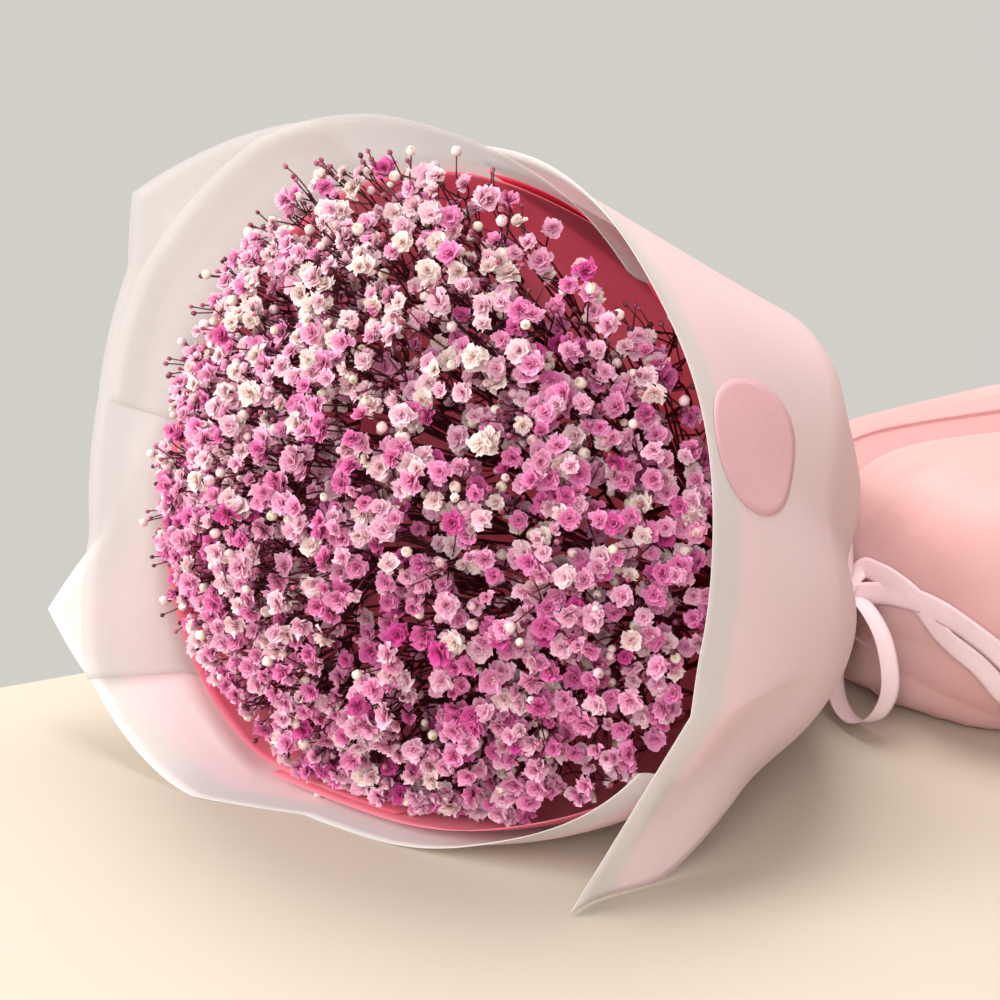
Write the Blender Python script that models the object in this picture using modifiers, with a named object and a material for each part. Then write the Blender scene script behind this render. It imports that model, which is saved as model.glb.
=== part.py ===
# Gypsophila bouquet, hand tied and wrapped, lying on its side.
# Metres, +Z up. The bouquet lies along Y with its flowers toward -Y.
# A point on the wrap is given by s, the distance along the bouquet's axis
# from the tie, and by theta, the angle round it: 0 is +X and 90 degrees is up.

import math

import bmesh
import bpy
import numpy as np
from mathutils import Matrix, Vector
from mathutils.bvhtree import BVHTree

MM = 0.001

# Axis of the bouquet
TIE_HEIGHT = 33 * MM
HEAD_LENGTH = 196 * MM
HEAD_RISE = math.radians(24.8)
TAIL_RISE = math.radians(8)
TIE_HALF = 11.5 * MM
BEND_LENGTH = 15 * MM

# Opening of the wrap, a slanted circle with its low side toward +X that bulges out at one angle
OPENING_YAW = math.radians(29.5)
OPENING_PITCH = math.radians(18.5)
OPENING_RADIUS = 115.5 * MM
OPENING_OFFSET = (-4.5 * MM, -5.5 * MM)
RIM_BULGE = 0.14
RIM_BULGE_ANGLE = -22
RIM_BULGE_SPREAD = 32

# Wrapping sheets
SHEET_THICKNESS = 0.6 * MM
TIE_RADIUS = 12.6 * MM
LAYER_AT_TIE = 1.0 * MM
LAYER_AT_RIM = 1.5 * MM
LAYER_SPREAD = 0.05
LAYER_GROWTH = 60 * MM
TIE_BAND_HALF = 10.5 * MM
FULLNESS_TOP = 3.45
FULLNESS_BACK = 1.7
FULLNESS_ANGLE = 35
FULLNESS_SPREAD = 60
SHOULDER_HEIGHT = 8 * MM
SHOULDER_RIM = -4 * MM
SHOULDER_ANGLE = 59
SHOULDER_SPREAD = 24
SHOULDER_PLACE = 0.38
FLATNESS = 0.37
FLAT_ANGLE = 30
FLAT_SPREAD = 18
FLARE_FRONT = 0.15
FLARE_BACK = 0.5
FLARE_ANGLE = 185
FLARE_SPREAD = 75
SKIRT_LENGTH = 155 * MM
SKIRT_SIDE = 80 * MM
SKIRT_TOP = 56 * MM
SKIRT_FALL = 0.56
SKIRT_SWELL = 14.5 * MM
FLAP_REACH = 30 * MM
FLAP_BACK = 10 * MM
FLAP_START = -4
FLAP_END = -48
GRID_STEP = 12
HEAD_ROWS = (0.16, SHOULDER_PLACE, 0.58, 0.82, 1.0)
SKIRT_ROWS = (1.0, 0.45, 0.2, 0.125)

# Stems, tied in a hexagon of 19
STEM_SPACING = 4.2 * MM
STEM_RADIUS = 1.9 * MM
STEM_TIP_RADIUS = 1.2 * MM
TAIL_LENGTH = 104 * MM
TAIL_STAGGER = 7 * MM
TAIL_SPREAD = 1.25
TWINE_INNER = 10.6 * MM
TWINE_THICKNESS = 1.0 * MM
TWINE_HALF_WIDTH = 5 * MM

# Flower head, a dome over the opening
DOME_CENTRE = (-3 * MM, -4 * MM)
DOME_REACH = (101 * MM, 104 * MM)
DOME_RISE = 56 * MM
DOME_LEAN = 24 * MM
DOME_ROUNDNESS = 2.2
DOME_FACING = 0.6
SLOPE_STEP = 0.01
BLOOM_COUNT = 150
BLOOM_RADIUS = 10.6 * MM
BLOOM_SIDES = 8
BLOOM_GAP = 0.35 * MM
BLOOM_RELIEF = 4.0 * MM
RELIEF_NOISE = 0.15
SPIRAL_START = 0.84
BLOOM_FLATNESS = 1.7
BLOOM_SIZES = (0.92, 1.04)
BLOOM_DEPTH = 0.3
PUSH_ROUNDS = 80
PUSH_PART = 0.3
# A bloom's rings of petal tips and the dips between them, as reach and height in radii
PETAL_TOP = ((0.42, 0.3), (0.68, 0.5))
PETAL_EDGE = ((1.0, 0.02), (0.84, -0.2))
BLOOM_EYE = 0.34
POLE_REACH = 0.01
BLOOM_BASE = -0.62
FORK_PLACE = 0.52
CROWN_PLACE = 0.8
BRANCH_BLOOMS = 3.3
BRANCH_SPAN = 0.85
TWIG_FIRST = 0.34
TWIG_STEP = 0.14
TWIG_SPIN = 0.4
TWIG_TAPER = 0.9
STEM_SHARE = 2.3
BRANCH_RADIUS = 0.95 * MM
TWIG_RADIUS = 0.7 * MM
FLOOR_CLEAR = 18.5 * MM
SEED = 11

# Ribbon and sticker
RIBBON_WIDTH = 9 * MM
RIBBON_THICKNESS = 0.8 * MM
RIBBON_CLEAR = 0.4 * MM
TAIL_LIFT = 1.5 * MM
TAIL_POINTS = 15
TAIL_RAY = 12 * MM
LIFT_SAMPLES = 5
LIFT_ROUNDS = 6
RAY_START = 300 * MM
KNOT_ANGLE = 30
KNOT_SIZE = (7 * MM, 6 * MM, 4 * MM)
KNOT_CLEAR = 0.2 * MM
# Each loop's places across, along and above the middle of the tie
RIBBON_LOOPS = (
    ((32, 0, 12), (47, 0, 3), (56, 0, -13), (54, 1, -26), (45, 2, -33), (34, 1, -32.5), (25.5, 0, -25),
     (22, 0, -10)),
    ((15, 0, 29), (6, 0, 42), (-6, 0, 43), (-11, 0, 33), (-2, 0, 25)),
)
# Each end's places on the skirt: angle and distance from the tie
RIBBON_TAILS = (
    ((46, -15), (30, -18), (8, -23), (-10, -36), (-20, -60), (-26, -88)),
    ((26, -15), (20, -20), (11, -27), (1, -36), (-8, -58), (-15, -84), (-19, -108)),
)
STICKER_RADIUS = 23 * MM
STICKER_THICKNESS = 0.6 * MM
STICKER_CLEAR = 1.25 * MM
STICKER_PLACE = (32, 127 * MM)
STICKER_GRID = 9

X_AXIS = np.array([1.0, 0.0, 0.0])
TIE_POINT = np.array([0.0, 0.0, TIE_HEIGHT])
HEAD_DIRECTION = np.array([0.0, -math.cos(HEAD_RISE), math.sin(HEAD_RISE)])
TAIL_DIRECTION = np.array([0.0, -math.cos(TAIL_RISE), -math.sin(TAIL_RISE)])
OPENING_CENTRE = TIE_POINT + HEAD_LENGTH * HEAD_DIRECTION
OPENING_NORMAL = np.array([
    math.sin(OPENING_YAW) * math.cos(OPENING_PITCH),
    -math.cos(OPENING_YAW) * math.cos(OPENING_PITCH),
    math.sin(OPENING_PITCH)])
OPENING_SIDE = np.array([math.cos(OPENING_YAW), math.sin(OPENING_YAW), 0.0])
OPENING_UP = np.cross(OPENING_NORMAL, OPENING_SIDE)

# Each sheet: layer from the inside out, first and last angle, colour, and
# how far its edge stands past the opening at a few angles, in millimetres.
SHEETS = {
    "inner_sheet_left": (0, 72, 288, (0.72, 0.13, 0.2), [(72, -4), (96, 2), (288, 0)]),
    "inner_sheet_right": (1, -96, 96, (0.75, 0.12, 0.2), [(-96, 3), (0, 3), (96, 2)]),
    "film_top": (2, 60, 192, (0.84, 0.66, 0.66),
                 [(60, 4), (84, 9), (108, 22), (132, 28), (168, 29), (192, 24)]),
    "film_left": (3, 120, 240, (0.86, 0.7, 0.69),
                  [(120, 22), (156, 46), (168, 34), (192, 28), (216, 26), (240, 36)]),
    "film_bottom": (4, 192, 336, (0.84, 0.6, 0.6),
                    [(192, 8), (216, 22), (228, 43), (240, 34), (252, 31), (264, 27), (276, 8), (300, 5),
                     (336, 4)]),
    "film_right": (5, -48, 96, (0.86, 0.67, 0.68),
                   [(-48, 2), (-36, 3), (-24, 4), (60, 6), (84, 5), (96, 3)]),
}


def remove_everything():
    for obj in list(bpy.data.objects):
        bpy.data.objects.remove(obj, do_unlink=True)


def make_material(name, color, roughness, metallic=0.0):
    mat = bpy.data.materials.new(name)
    mat.use_nodes = True
    shader = mat.node_tree.nodes["Principled BSDF"]
    shader.inputs["Base Color"].default_value = (*color, 1.0)
    shader.inputs["Roughness"].default_value = roughness
    shader.inputs["Metallic"].default_value = metallic
    mat.diffuse_color = (*color, 1.0)
    return mat


def between(low, high, part):
    return low + (high - low) * part


def smooth_step(x):
    x = np.clip(x, 0.0, 1.0)
    return x * x * (3 - 2 * x)


def bump(theta, centre, spread):
    """1 at the centre angle, falling away on both sides, in degrees."""
    away = (theta - centre + 180) % 360 - 180
    return np.exp(-(away / spread) ** 2)


def spine(s):
    """Point, direction and upward normal of the axis: straight in the tie, bent at its ends."""
    s = np.asarray(s, float)[..., None]
    head_end = TIE_HALF * HEAD_DIRECTION
    tail_end = -TIE_HALF * TAIL_DIRECTION
    part = np.clip((s + TIE_HALF) / (2 * TIE_HALF), 0, 1)
    inside = tail_end + (head_end - tail_end) * part
    behind = np.where(s < -TIE_HALF, s * TAIL_DIRECTION, inside)
    place = np.where(s > TIE_HALF, s * HEAD_DIRECTION, behind)
    tie_way = HEAD_DIRECTION + TAIL_DIRECTION
    tie_way = tie_way / np.linalg.norm(tie_way)
    turn = np.clip((np.abs(s) - TIE_HALF) / BEND_LENGTH, 0, 1)
    way = tie_way + (np.where(s > 0, HEAD_DIRECTION, TAIL_DIRECTION) - tie_way) * turn
    way = way / np.linalg.norm(way, axis=-1, keepdims=True)
    up = np.cross(way, X_AXIS)
    return TIE_POINT + place, way, up


def across(theta, up):
    """Unit vector away from the axis at an angle round it."""
    turn = np.radians(np.asarray(theta, float))[..., None]
    return np.cos(turn) * X_AXIS + np.sin(turn) * up


def rim(theta):
    """Distance along the axis and radius of the opening's edge: a circle that bulges at one side."""
    up = np.cross(HEAD_DIRECTION, X_AXIS)
    out = across(theta, up)
    slant = out @ OPENING_NORMAL / (HEAD_DIRECTION @ OPENING_NORMAL)
    reach = out - slant[..., None] * HEAD_DIRECTION
    centre = OPENING_OFFSET[0] * OPENING_SIDE + OPENING_OFFSET[1] * OPENING_UP
    a = (reach ** 2).sum(-1)
    b = reach @ centre
    c = centre @ centre - OPENING_RADIUS ** 2
    radius = (b + np.sqrt(b * b - a * c)) / a
    radius = radius * (1 + RIM_BULGE * bump(theta, RIM_BULGE_ANGLE, RIM_BULGE_SPREAD))
    return HEAD_LENGTH - radius * slant, radius


def head_part(s, rim_s):
    """0 in the tie and 1 at the opening."""
    return np.clip((s - TIE_BAND_HALF) / (rim_s - TIE_BAND_HALF), 0, 1)


def wrap_radius(theta, s):
    """Radius of the wrap's inner face: a bag that swells from the tie to the opening."""
    theta = np.asarray(theta, float)
    rim_s, rim_r = rim(theta)
    t = head_part(s, rim_s)
    fullness = between(FULLNESS_BACK, FULLNESS_TOP, bump(theta, FULLNESS_ANGLE, FULLNESS_SPREAD))
    swell = between(1 - (1 - t) ** fullness, t, FLATNESS * bump(theta, FLAT_ANGLE, FLAT_SPREAD))
    rise = np.clip(t / SHOULDER_PLACE, 0, 1) * SHOULDER_HEIGHT
    fall = np.clip((t - SHOULDER_PLACE) / (1 - SHOULDER_PLACE), 0, 1) * (SHOULDER_HEIGHT - SHOULDER_RIM)
    shoulder = (rise - fall) * bump(theta, SHOULDER_ANGLE, SHOULDER_SPREAD)
    flare = between(FLARE_FRONT, FLARE_BACK, bump(theta, FLARE_ANGLE, FLARE_SPREAD))
    head = TIE_RADIUS + (rim_r - TIE_RADIUS) * swell + shoulder
    head = head + flare * np.clip(s - rim_s, 0, None)
    behind = np.clip(-s - TIE_BAND_HALF, 0, None)
    upright = np.sin(np.radians(theta)) ** 2
    top = SKIRT_TOP * (1 - SKIRT_FALL * behind / SKIRT_LENGTH)
    reach = SKIRT_SIDE * (1 - upright) + top * upright
    skirt = TIE_RADIUS + reach * (1 - np.exp(-behind / SKIRT_SWELL))
    return np.where(s >= 0, head, skirt)


def layer_offset(theta, s, layer):
    """Distance of a layer's outer face from the wrap's inner face."""
    grow = smooth_step((np.abs(s) - TIE_BAND_HALF) / LAYER_GROWTH)
    past_rim = np.clip(s - rim(theta)[0], 0, None)
    return layer * (LAYER_AT_TIE + (LAYER_AT_RIM - LAYER_AT_TIE) * grow + LAYER_SPREAD * past_rim)


def floor_level(theta, layer):
    """Lowest height a layer may have, so that the layers lie on each other on the table."""
    last, first_angle, last_angle = SHEETS["film_right"][:3]
    middle = (first_angle + last_angle) / 2
    away = np.abs((np.asarray(theta, float) - middle + 180) % 360 - 180)
    under = smooth_step((last_angle - middle + 2 * GRID_STEP - away) / GRID_STEP)
    return np.clip(last - 1 + under - layer, 0, None) * LAYER_AT_RIM


def edge_reach(theta, outline):
    angles = [a for a, _ in outline]
    reach = [r * MM for _, r in outline]
    return np.interp(theta, angles, reach)


def link(obj, collection):
    collection.objects.link(obj)
    return obj


def evaluated_mesh(obj):
    depsgraph = bpy.context.evaluated_depsgraph_get()
    depsgraph.update()
    return bpy.data.meshes.new_from_object(obj.evaluated_get(depsgraph))


def apply_modifiers(obj):
    mesh = evaluated_mesh(obj)
    obj.modifiers.clear()
    obj.data = mesh


def grid_object(name, points, collection):
    """Open surface through a table of points, from a grid primitive."""
    rows, cols, _ = points.shape
    bm = bmesh.new()
    bmesh.ops.create_grid(bm, x_segments=cols - 1, y_segments=rows - 1, size=1.0)
    bm.verts.ensure_lookup_table()
    for vert in bm.verts:
        col = round((vert.co.x + 1) / 2 * (cols - 1))
        row = round((vert.co.y + 1) / 2 * (rows - 1))
        vert.co = Vector(points[row, col])
    bmesh.ops.triangulate(bm, faces=bm.faces, quad_method="FIXED")
    mesh = bpy.data.meshes.new(name)
    bm.to_mesh(mesh)
    bm.free()
    return link(bpy.data.objects.new(name, mesh), collection)


def add_thickness(obj, thickness, offset):
    solid = obj.modifiers.new("Thickness", "SOLIDIFY")
    solid.thickness = thickness
    solid.offset = offset
    solid.use_even_offset = True


def parallel_rows(points, theta, ups, offsets):
    """Move a table of points out so that each strip between rows shifts along its own normal."""
    turn = np.radians(theta)[None, :, None]
    round_way = -np.sin(turn) * X_AXIS + np.cos(turn) * ups
    chord = points[1:] - points[:-1]
    normal = np.cross(round_way[1:], chord)
    normal = normal / np.linalg.norm(normal, axis=-1, keepdims=True)
    before = np.concatenate([normal[:1], normal])
    after = np.concatenate([normal, normal[-1:]])
    middle = before + after
    middle = middle / np.linalg.norm(middle, axis=-1, keepdims=True)
    miter = 1 / (middle * after).sum(-1)
    return points + (offsets * miter)[..., None] * middle


def make_sheet(name, spec, collection):
    """One wrapping sheet from its skirt, through the tie, to its edge at the opening."""
    layer, first, last, color, outline = spec
    theta = np.arange(first, last + 1, GRID_STEP, dtype=float)
    rim_s, _ = rim(theta)
    beyond = edge_reach(theta, outline)
    rows = [np.full_like(theta, -SKIRT_LENGTH * part) for part in SKIRT_ROWS]
    rows += [np.full_like(theta, -TIE_BAND_HALF), np.full_like(theta, TIE_BAND_HALF)]
    rows += [rim_s * part for part in HEAD_ROWS[:-1]]
    if layer < 2:
        rows.append(rim_s + beyond)
    else:
        rows += [rim_s, rim_s + beyond]
    s = np.array(rows)
    place, _, up = spine(s)
    radius = wrap_radius(theta, s)
    if name == "film_right":
        flap = smooth_step((FLAP_START - theta) / (FLAP_START - FLAP_END)) * head_part(s, rim_s)
        radius = radius + FLAP_REACH * flap
        place = place - FLAP_BACK * flap[..., None] * HEAD_DIRECTION
    points = place + radius[..., None] * across(theta[None], up)
    points = parallel_rows(points, theta, up, layer_offset(theta, s, layer))
    points[..., 2] = np.maximum(points[..., 2], floor_level(theta, layer))
    obj = grid_object(name, points, collection)
    obj.data.materials.append(make_material(name + "_paper", color, 0.55))
    add_thickness(obj, SHEET_THICKNESS, -1)
    obj.data.shade_smooth()
    return obj


def hexagon_places():
    """Places of the 19 stems in units of their spacing, from the middle out."""
    places = []
    for row in range(-2, 3):
        for col in range(-4, 5):
            if (row + col) % 2 == 0 and abs(row) + abs(col) <= 4:
                places.append((col / 2, row * math.sqrt(3) / 2))
    places.sort(key=lambda p: (round(math.hypot(*p), 3), math.atan2(p[1], p[0])))
    return np.array(places)


def bundle_point(place, s, spacing):
    """Point in the tied bundle for a stem's place."""
    centre, _, up = spine(s)
    return centre + spacing * (place[0] * X_AXIS + place[1] * up)


def dome_height(across_dome):
    reach = np.clip((across_dome ** 2).sum(-1), 0, 1)
    lean = DOME_LEAN * np.clip(across_dome[..., 1], 0, 1) ** 2
    return DOME_RISE * (1 - reach ** (DOME_ROUNDNESS / 2)) + lean


def dome_point(across_dome, lift=0.0):
    """Point on the flower head; across_dome runs from the dome's middle to 1 at its edge."""
    across_dome = np.asarray(across_dome, float)
    angle = np.degrees(np.arctan2(across_dome[..., 1], across_dome[..., 0]))
    bulge = 1 + RIM_BULGE * bump(angle, RIM_BULGE_ANGLE, RIM_BULGE_SPREAD) * (across_dome ** 2).sum(-1)
    a = DOME_CENTRE[0] + across_dome[..., 0] * DOME_REACH[0] * bulge
    b = DOME_CENTRE[1] + across_dome[..., 1] * DOME_REACH[1] * bulge
    h = dome_height(across_dome) + lift
    point = OPENING_CENTRE + a[..., None] * OPENING_SIDE + b[..., None] * OPENING_UP
    point = point + h[..., None] * OPENING_NORMAL
    point[..., 2] = np.maximum(point[..., 2], FLOOR_CLEAR)
    return point


def clearance(points, normals):
    """Distance between blooms, with heights counted more because a bloom is flat."""
    apart = points[:, None] - points[None]
    height = (apart * (normals[:, None] + normals[None])).sum(-1) / 2
    across_sq = (apart ** 2).sum(-1) - height ** 2
    return np.sqrt(np.clip(across_sq, 0, None) + (BLOOM_FLATNESS * height) ** 2), apart


def bloom_places(rng):
    """Even places over the dome: a sunflower spiral at three heights, then pushed apart."""
    count = np.arange(BLOOM_COUNT) + 0.5
    part = count / BLOOM_COUNT
    radius = np.sqrt(part) * between(SPIRAL_START, 1, part)
    turn = count * math.pi * (3 - math.sqrt(5))
    flat = np.stack([radius * np.cos(turn), radius * np.sin(turn)], -1)
    noise = rng.uniform(-RELIEF_NOISE, RELIEF_NOISE, BLOOM_COUNT)
    relief = (np.arange(BLOOM_COUNT) % 3 - 1 + noise) * BLOOM_RELIEF
    for _ in range(PUSH_ROUNDS):
        distance, apart = clearance(dome_point(flat, relief), dome_normals(flat))
        np.fill_diagonal(distance, 1)
        push = np.clip(2 * BLOOM_RADIUS - distance, 0, None) / distance
        move = (apart * push[..., None]).sum(1) * PUSH_PART
        step = np.stack([move @ OPENING_SIDE / DOME_REACH[0], move @ OPENING_UP / DOME_REACH[1]], -1)
        flat = flat + step
        size = np.linalg.norm(flat, axis=-1, keepdims=True)
        flat = flat / np.maximum(size, 1)
    return flat, relief


def turned_to(direction, spin):
    """Rotation that takes +Z to a direction, with a turn about it."""
    quat = Vector(direction).to_track_quat("Z", "Y")
    return quat.to_matrix().to_4x4() @ Matrix.Rotation(spin, 4, "Z")


def make_bloom(centre, direction, radius, spin, collection):
    """Double flower: a low sphere whose rings are drawn in and out as petals."""
    bm = bmesh.new()
    bmesh.ops.create_uvsphere(bm, u_segments=BLOOM_SIDES, v_segments=3, radius=1.0)
    for vert in bm.verts:
        flat = math.hypot(vert.co.x, vert.co.y)
        if flat < POLE_REACH:
            vert.co.z = BLOOM_EYE if vert.co.z > 0 else BLOOM_BASE
            continue
        turn = math.atan2(vert.co.y, vert.co.x)
        odd = round(turn / (2 * math.pi / BLOOM_SIDES)) % 2
        reach, height = PETAL_TOP[odd] if vert.co.z > 0 else PETAL_EDGE[odd]
        vert.co = Vector((reach * math.cos(turn), reach * math.sin(turn), height))
    bmesh.ops.transform(bm, matrix=Matrix.Translation(Vector(centre)) @ turned_to(direction, spin)
                        @ Matrix.Scale(radius, 4), verts=bm.verts)
    bmesh.ops.triangulate(bm, faces=bm.faces)
    mesh = bpy.data.meshes.new("bloom")
    bm.to_mesh(mesh)
    bm.free()
    return link(bpy.data.objects.new("bloom", mesh), collection)


def make_twig(start, end, radius_start, radius_end, sides, collection):
    """Straight tapered length of stem."""
    start = Vector(start)
    end = Vector(end)
    way = end - start
    bm = bmesh.new()
    bmesh.ops.create_cone(bm, cap_ends=True, cap_tris=False, segments=sides, radius1=radius_start,
                          radius2=radius_end, depth=way.length)
    place = Matrix.Translation((start + end) / 2) @ turned_to(way.normalized(), TWIG_SPIN)
    bmesh.ops.transform(bm, matrix=place, verts=bm.verts)
    mesh = bpy.data.meshes.new("twig")
    bm.to_mesh(mesh)
    bm.free()
    return link(bpy.data.objects.new("twig", mesh), collection)


def make_stem(name, points, radii, collection):
    """Main stem: a bevelled poly curve made a closed mesh."""
    curve = bpy.data.curves.new(name, "CURVE")
    curve.dimensions = "3D"
    curve.bevel_depth = 1.0
    curve.bevel_resolution = 1
    curve.use_fill_caps = True
    spline = curve.splines.new("POLY")
    spline.points.add(len(points) - 1)
    for point, place, radius in zip(spline.points, points, radii):
        point.co = (*place, 1.0)
        point.radius = radius
    holder = link(bpy.data.objects.new(name + "_path", curve), collection)
    mesh = evaluated_mesh(holder)
    bm = bmesh.new()
    bm.from_mesh(mesh)
    bmesh.ops.remove_doubles(bm, verts=bm.verts, dist=0.00001)
    bm.to_mesh(mesh)
    bm.free()
    bpy.data.objects.remove(holder, do_unlink=True)
    mesh.name = name
    return link(bpy.data.objects.new(name, mesh), collection)


def unite(obj, pieces):
    """Join a collection's solids into the object and remove them."""
    union = obj.modifiers.new("Join", "BOOLEAN")
    union.operation = "UNION"
    union.operand_type = "COLLECTION"
    union.collection = pieces
    union.solver = "MANIFOLD"
    apply_modifiers(obj)
    for piece in list(pieces.objects):
        bpy.data.objects.remove(piece, do_unlink=True)
    bpy.data.collections.remove(pieces)


def new_pieces(name):
    pieces = bpy.data.collections.new(name)
    bpy.context.scene.collection.children.link(pieces)
    return pieces


def make_spray(index, place, members, rng, collection):
    """One cut stem with its branches and the blooms of its share of the dome."""
    name = f"spray_{index + 1:02d}"
    pieces = new_pieces(name + "_pieces")
    points = members["points"]
    middle = points.mean(0)
    tie = bundle_point(place, TIE_HALF, STEM_SPACING)
    tail = -TAIL_LENGTH + rng.uniform(-1, 1) * TAIL_STAGGER
    fork = between(tie, middle, FORK_PLACE)
    crown = between(tie, middle, CROWN_PLACE)
    path = [bundle_point(place, tail, STEM_SPACING * TAIL_SPREAD),
            bundle_point(place, -TIE_HALF, STEM_SPACING), tie, fork, crown]
    radii = [STEM_RADIUS, STEM_RADIUS, STEM_RADIUS, STEM_TIP_RADIUS, BRANCH_RADIUS]
    stem = make_stem(name, path, radii, collection)
    flat = np.stack([(points - middle) @ OPENING_UP, (points - middle) @ OPENING_SIDE], -1)
    order = np.argsort(np.arctan2(flat[:, 0], flat[:, 1]))
    groups = np.array_split(order, max(2, round(len(order) / BRANCH_BLOOMS)))
    for number, group in enumerate(groups):
        start = between(fork, crown, (number + 0.5) / len(groups) * BRANCH_SPAN)
        bases = [points[m] - members["normals"][m] * members["radii"][m] * BLOOM_DEPTH for m in group]
        leader = int(np.argmin([np.linalg.norm(b - points[group].mean(0)) for b in bases]))
        make_twig(start, bases[leader], STEM_TIP_RADIUS, TWIG_RADIUS, 4, pieces)
        for rank, (member, base) in enumerate(zip(group, bases)):
            if rank != leader:
                joint = between(start, bases[leader], TWIG_FIRST + TWIG_STEP * rank)
                make_twig(joint, base, TWIG_RADIUS, TWIG_RADIUS * TWIG_TAPER, 3, pieces)
            make_bloom(points[member], members["normals"][member], members["radii"][member],
                       members["spins"][member], pieces)
    unite(stem, pieces)
    stem.data.materials.clear()
    stem.data.materials.append(make_material(name + "_bloom", (0.8, 0.42, 0.6), 0.6))
    return stem


def dome_normals(flat):
    here = dome_point(flat)
    side = dome_point(flat + np.array([SLOPE_STEP, 0])) - here
    up = dome_point(flat + np.array([0, SLOPE_STEP])) - here
    normal = np.cross(side, up)
    normal = normal * np.sign(normal @ OPENING_NORMAL)[:, None]
    normal = normal / np.linalg.norm(normal, axis=-1, keepdims=True)
    normal = normal + DOME_FACING * OPENING_NORMAL
    return normal / np.linalg.norm(normal, axis=-1, keepdims=True)


def make_sprays(collection):
    """Share the dome's blooms among the stems and build each stem."""
    rng = np.random.default_rng(SEED)
    places = hexagon_places()
    flat, relief = bloom_places(rng)
    points = dome_point(flat, relief)
    normals = dome_normals(flat)
    spins = rng.uniform(0, 2 * math.pi, BLOOM_COUNT)
    centres = places / STEM_SHARE
    owner = np.linalg.norm(flat[:, None] - centres[None], axis=-1).argmin(1)
    apart, _ = clearance(points, normals)
    np.fill_diagonal(apart, 1.0)
    radii = BLOOM_RADIUS * rng.uniform(*BLOOM_SIZES, BLOOM_COUNT)
    radii = np.minimum(radii, apart.min(1) / 2 - BLOOM_GAP)
    for index, place in enumerate(places):
        mine = np.nonzero(owner == index)[0]
        members = {"points": points[mine], "normals": normals[mine],
                   "radii": radii[mine], "spins": spins[mine]}
        make_spray(index, place, members, rng, collection)


def ring_object(name, inner_radius, half_width, thickness, collection):
    """Band round the bundle, from an open cylinder primitive."""
    segments = 360 // GRID_STEP
    bm = bmesh.new()
    bmesh.ops.create_cone(bm, cap_ends=False, segments=segments, radius1=1.0, radius2=1.0, depth=2.0)
    for vert in bm.verts:
        theta = math.degrees(math.atan2(vert.co.y, vert.co.x)) + GRID_STEP / 2
        s = np.array(half_width * vert.co.z)
        place, _, up = spine(s)
        vert.co = Vector(place + inner_radius * across(theta, up))
    mesh = bpy.data.meshes.new(name)
    bm.to_mesh(mesh)
    bm.free()
    obj = link(bpy.data.objects.new(name, mesh), collection)
    add_thickness(obj, thickness, 1)
    apply_modifiers(obj)
    return obj


def make_stem_tie(collection):
    obj = ring_object("stem_tie", TWINE_INNER, TWINE_HALF_WIDTH, TWINE_THICKNESS, collection)
    obj.data.materials.append(make_material("jute_twine", (0.42, 0.28, 0.14), 0.9))


def surface_of(obj):
    """The object's faces, for finding points on them."""
    mesh = evaluated_mesh(obj)
    bm = bmesh.new()
    bm.from_mesh(mesh)
    surface = BVHTree.FromBMesh(bm)
    bm.free()
    bpy.data.meshes.remove(mesh)
    return surface


def on_surface(surface, theta, s):
    """Outermost point of a sheet at an angle and distance, with its face's normal."""
    place, _, up = spine(np.array(s))
    out = across(theta, up)
    point, normal, _, _ = surface.ray_cast(Vector(place + RAY_START * out), Vector(-out))
    return np.array(point), np.array(normal)


def make_sticker(surface, collection):
    """Plain round label, bent onto the outer sheet."""
    middle, out = on_surface(surface, *STICKER_PLACE)
    side = np.cross(X_AXIS, out)
    side = side / np.linalg.norm(side)
    up = np.cross(out, side)
    line = np.linspace(-1, 1, STICKER_GRID)
    points = np.zeros((STICKER_GRID, STICKER_GRID, 3))
    for row, v in enumerate(line):
        for col, u in enumerate(line):
            a = u * math.sqrt(1 - v * v / 2) * STICKER_RADIUS
            b = v * math.sqrt(1 - u * u / 2) * STICKER_RADIUS
            start = middle + a * side + b * up + RAY_START * out
            hit, _, _, _ = surface.ray_cast(Vector(start), Vector(-out))
            points[row, col] = np.array(hit) + (STICKER_CLEAR + STICKER_THICKNESS) * out
    obj = grid_object("sticker", points, collection)
    add_thickness(obj, STICKER_THICKNESS, -1)
    obj.data.materials.append(make_material("label_paper", (0.7, 0.4, 0.45), 0.5))


def ribbon_strip(table, pieces):
    """Flat strip between two edges, given as pairs of points."""
    obj = grid_object("ribbon_strip", table, pieces)
    add_thickness(obj, RIBBON_THICKNESS, 0)
    apply_modifiers(obj)
    return obj


def rise_over(surface, spot, normal):
    """How far the sheet stands above a point, along a normal."""
    hit, _, _, _ = surface.ray_cast(Vector(spot + TAIL_RAY * normal), Vector(-normal), 2 * TAIL_RAY)
    return (np.array(hit) - spot) @ normal if hit else -TAIL_LIFT


def lift_clear(surface, table, normals):
    """Lift a strip's pairs of points until the strip between them is clear of the sheet."""
    parts = np.linspace(0, 1, LIFT_SAMPLES)
    for _ in range(LIFT_ROUNDS):
        for row in range(len(table) - 1):
            normal = normals[row] + normals[row + 1]
            normal = normal / np.linalg.norm(normal)
            left = between(table[row, 0], table[row + 1, 0], parts[:, None])
            right = between(table[row, 1], table[row + 1, 1], parts[:, None])
            spots = between(left[:, None], right[:, None], parts[None, :, None]).reshape(-1, 3)
            short = TAIL_LIFT + max(rise_over(surface, spot, normal) for spot in spots)
            if short > 0:
                table[row:row + 2] += short * normal


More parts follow.
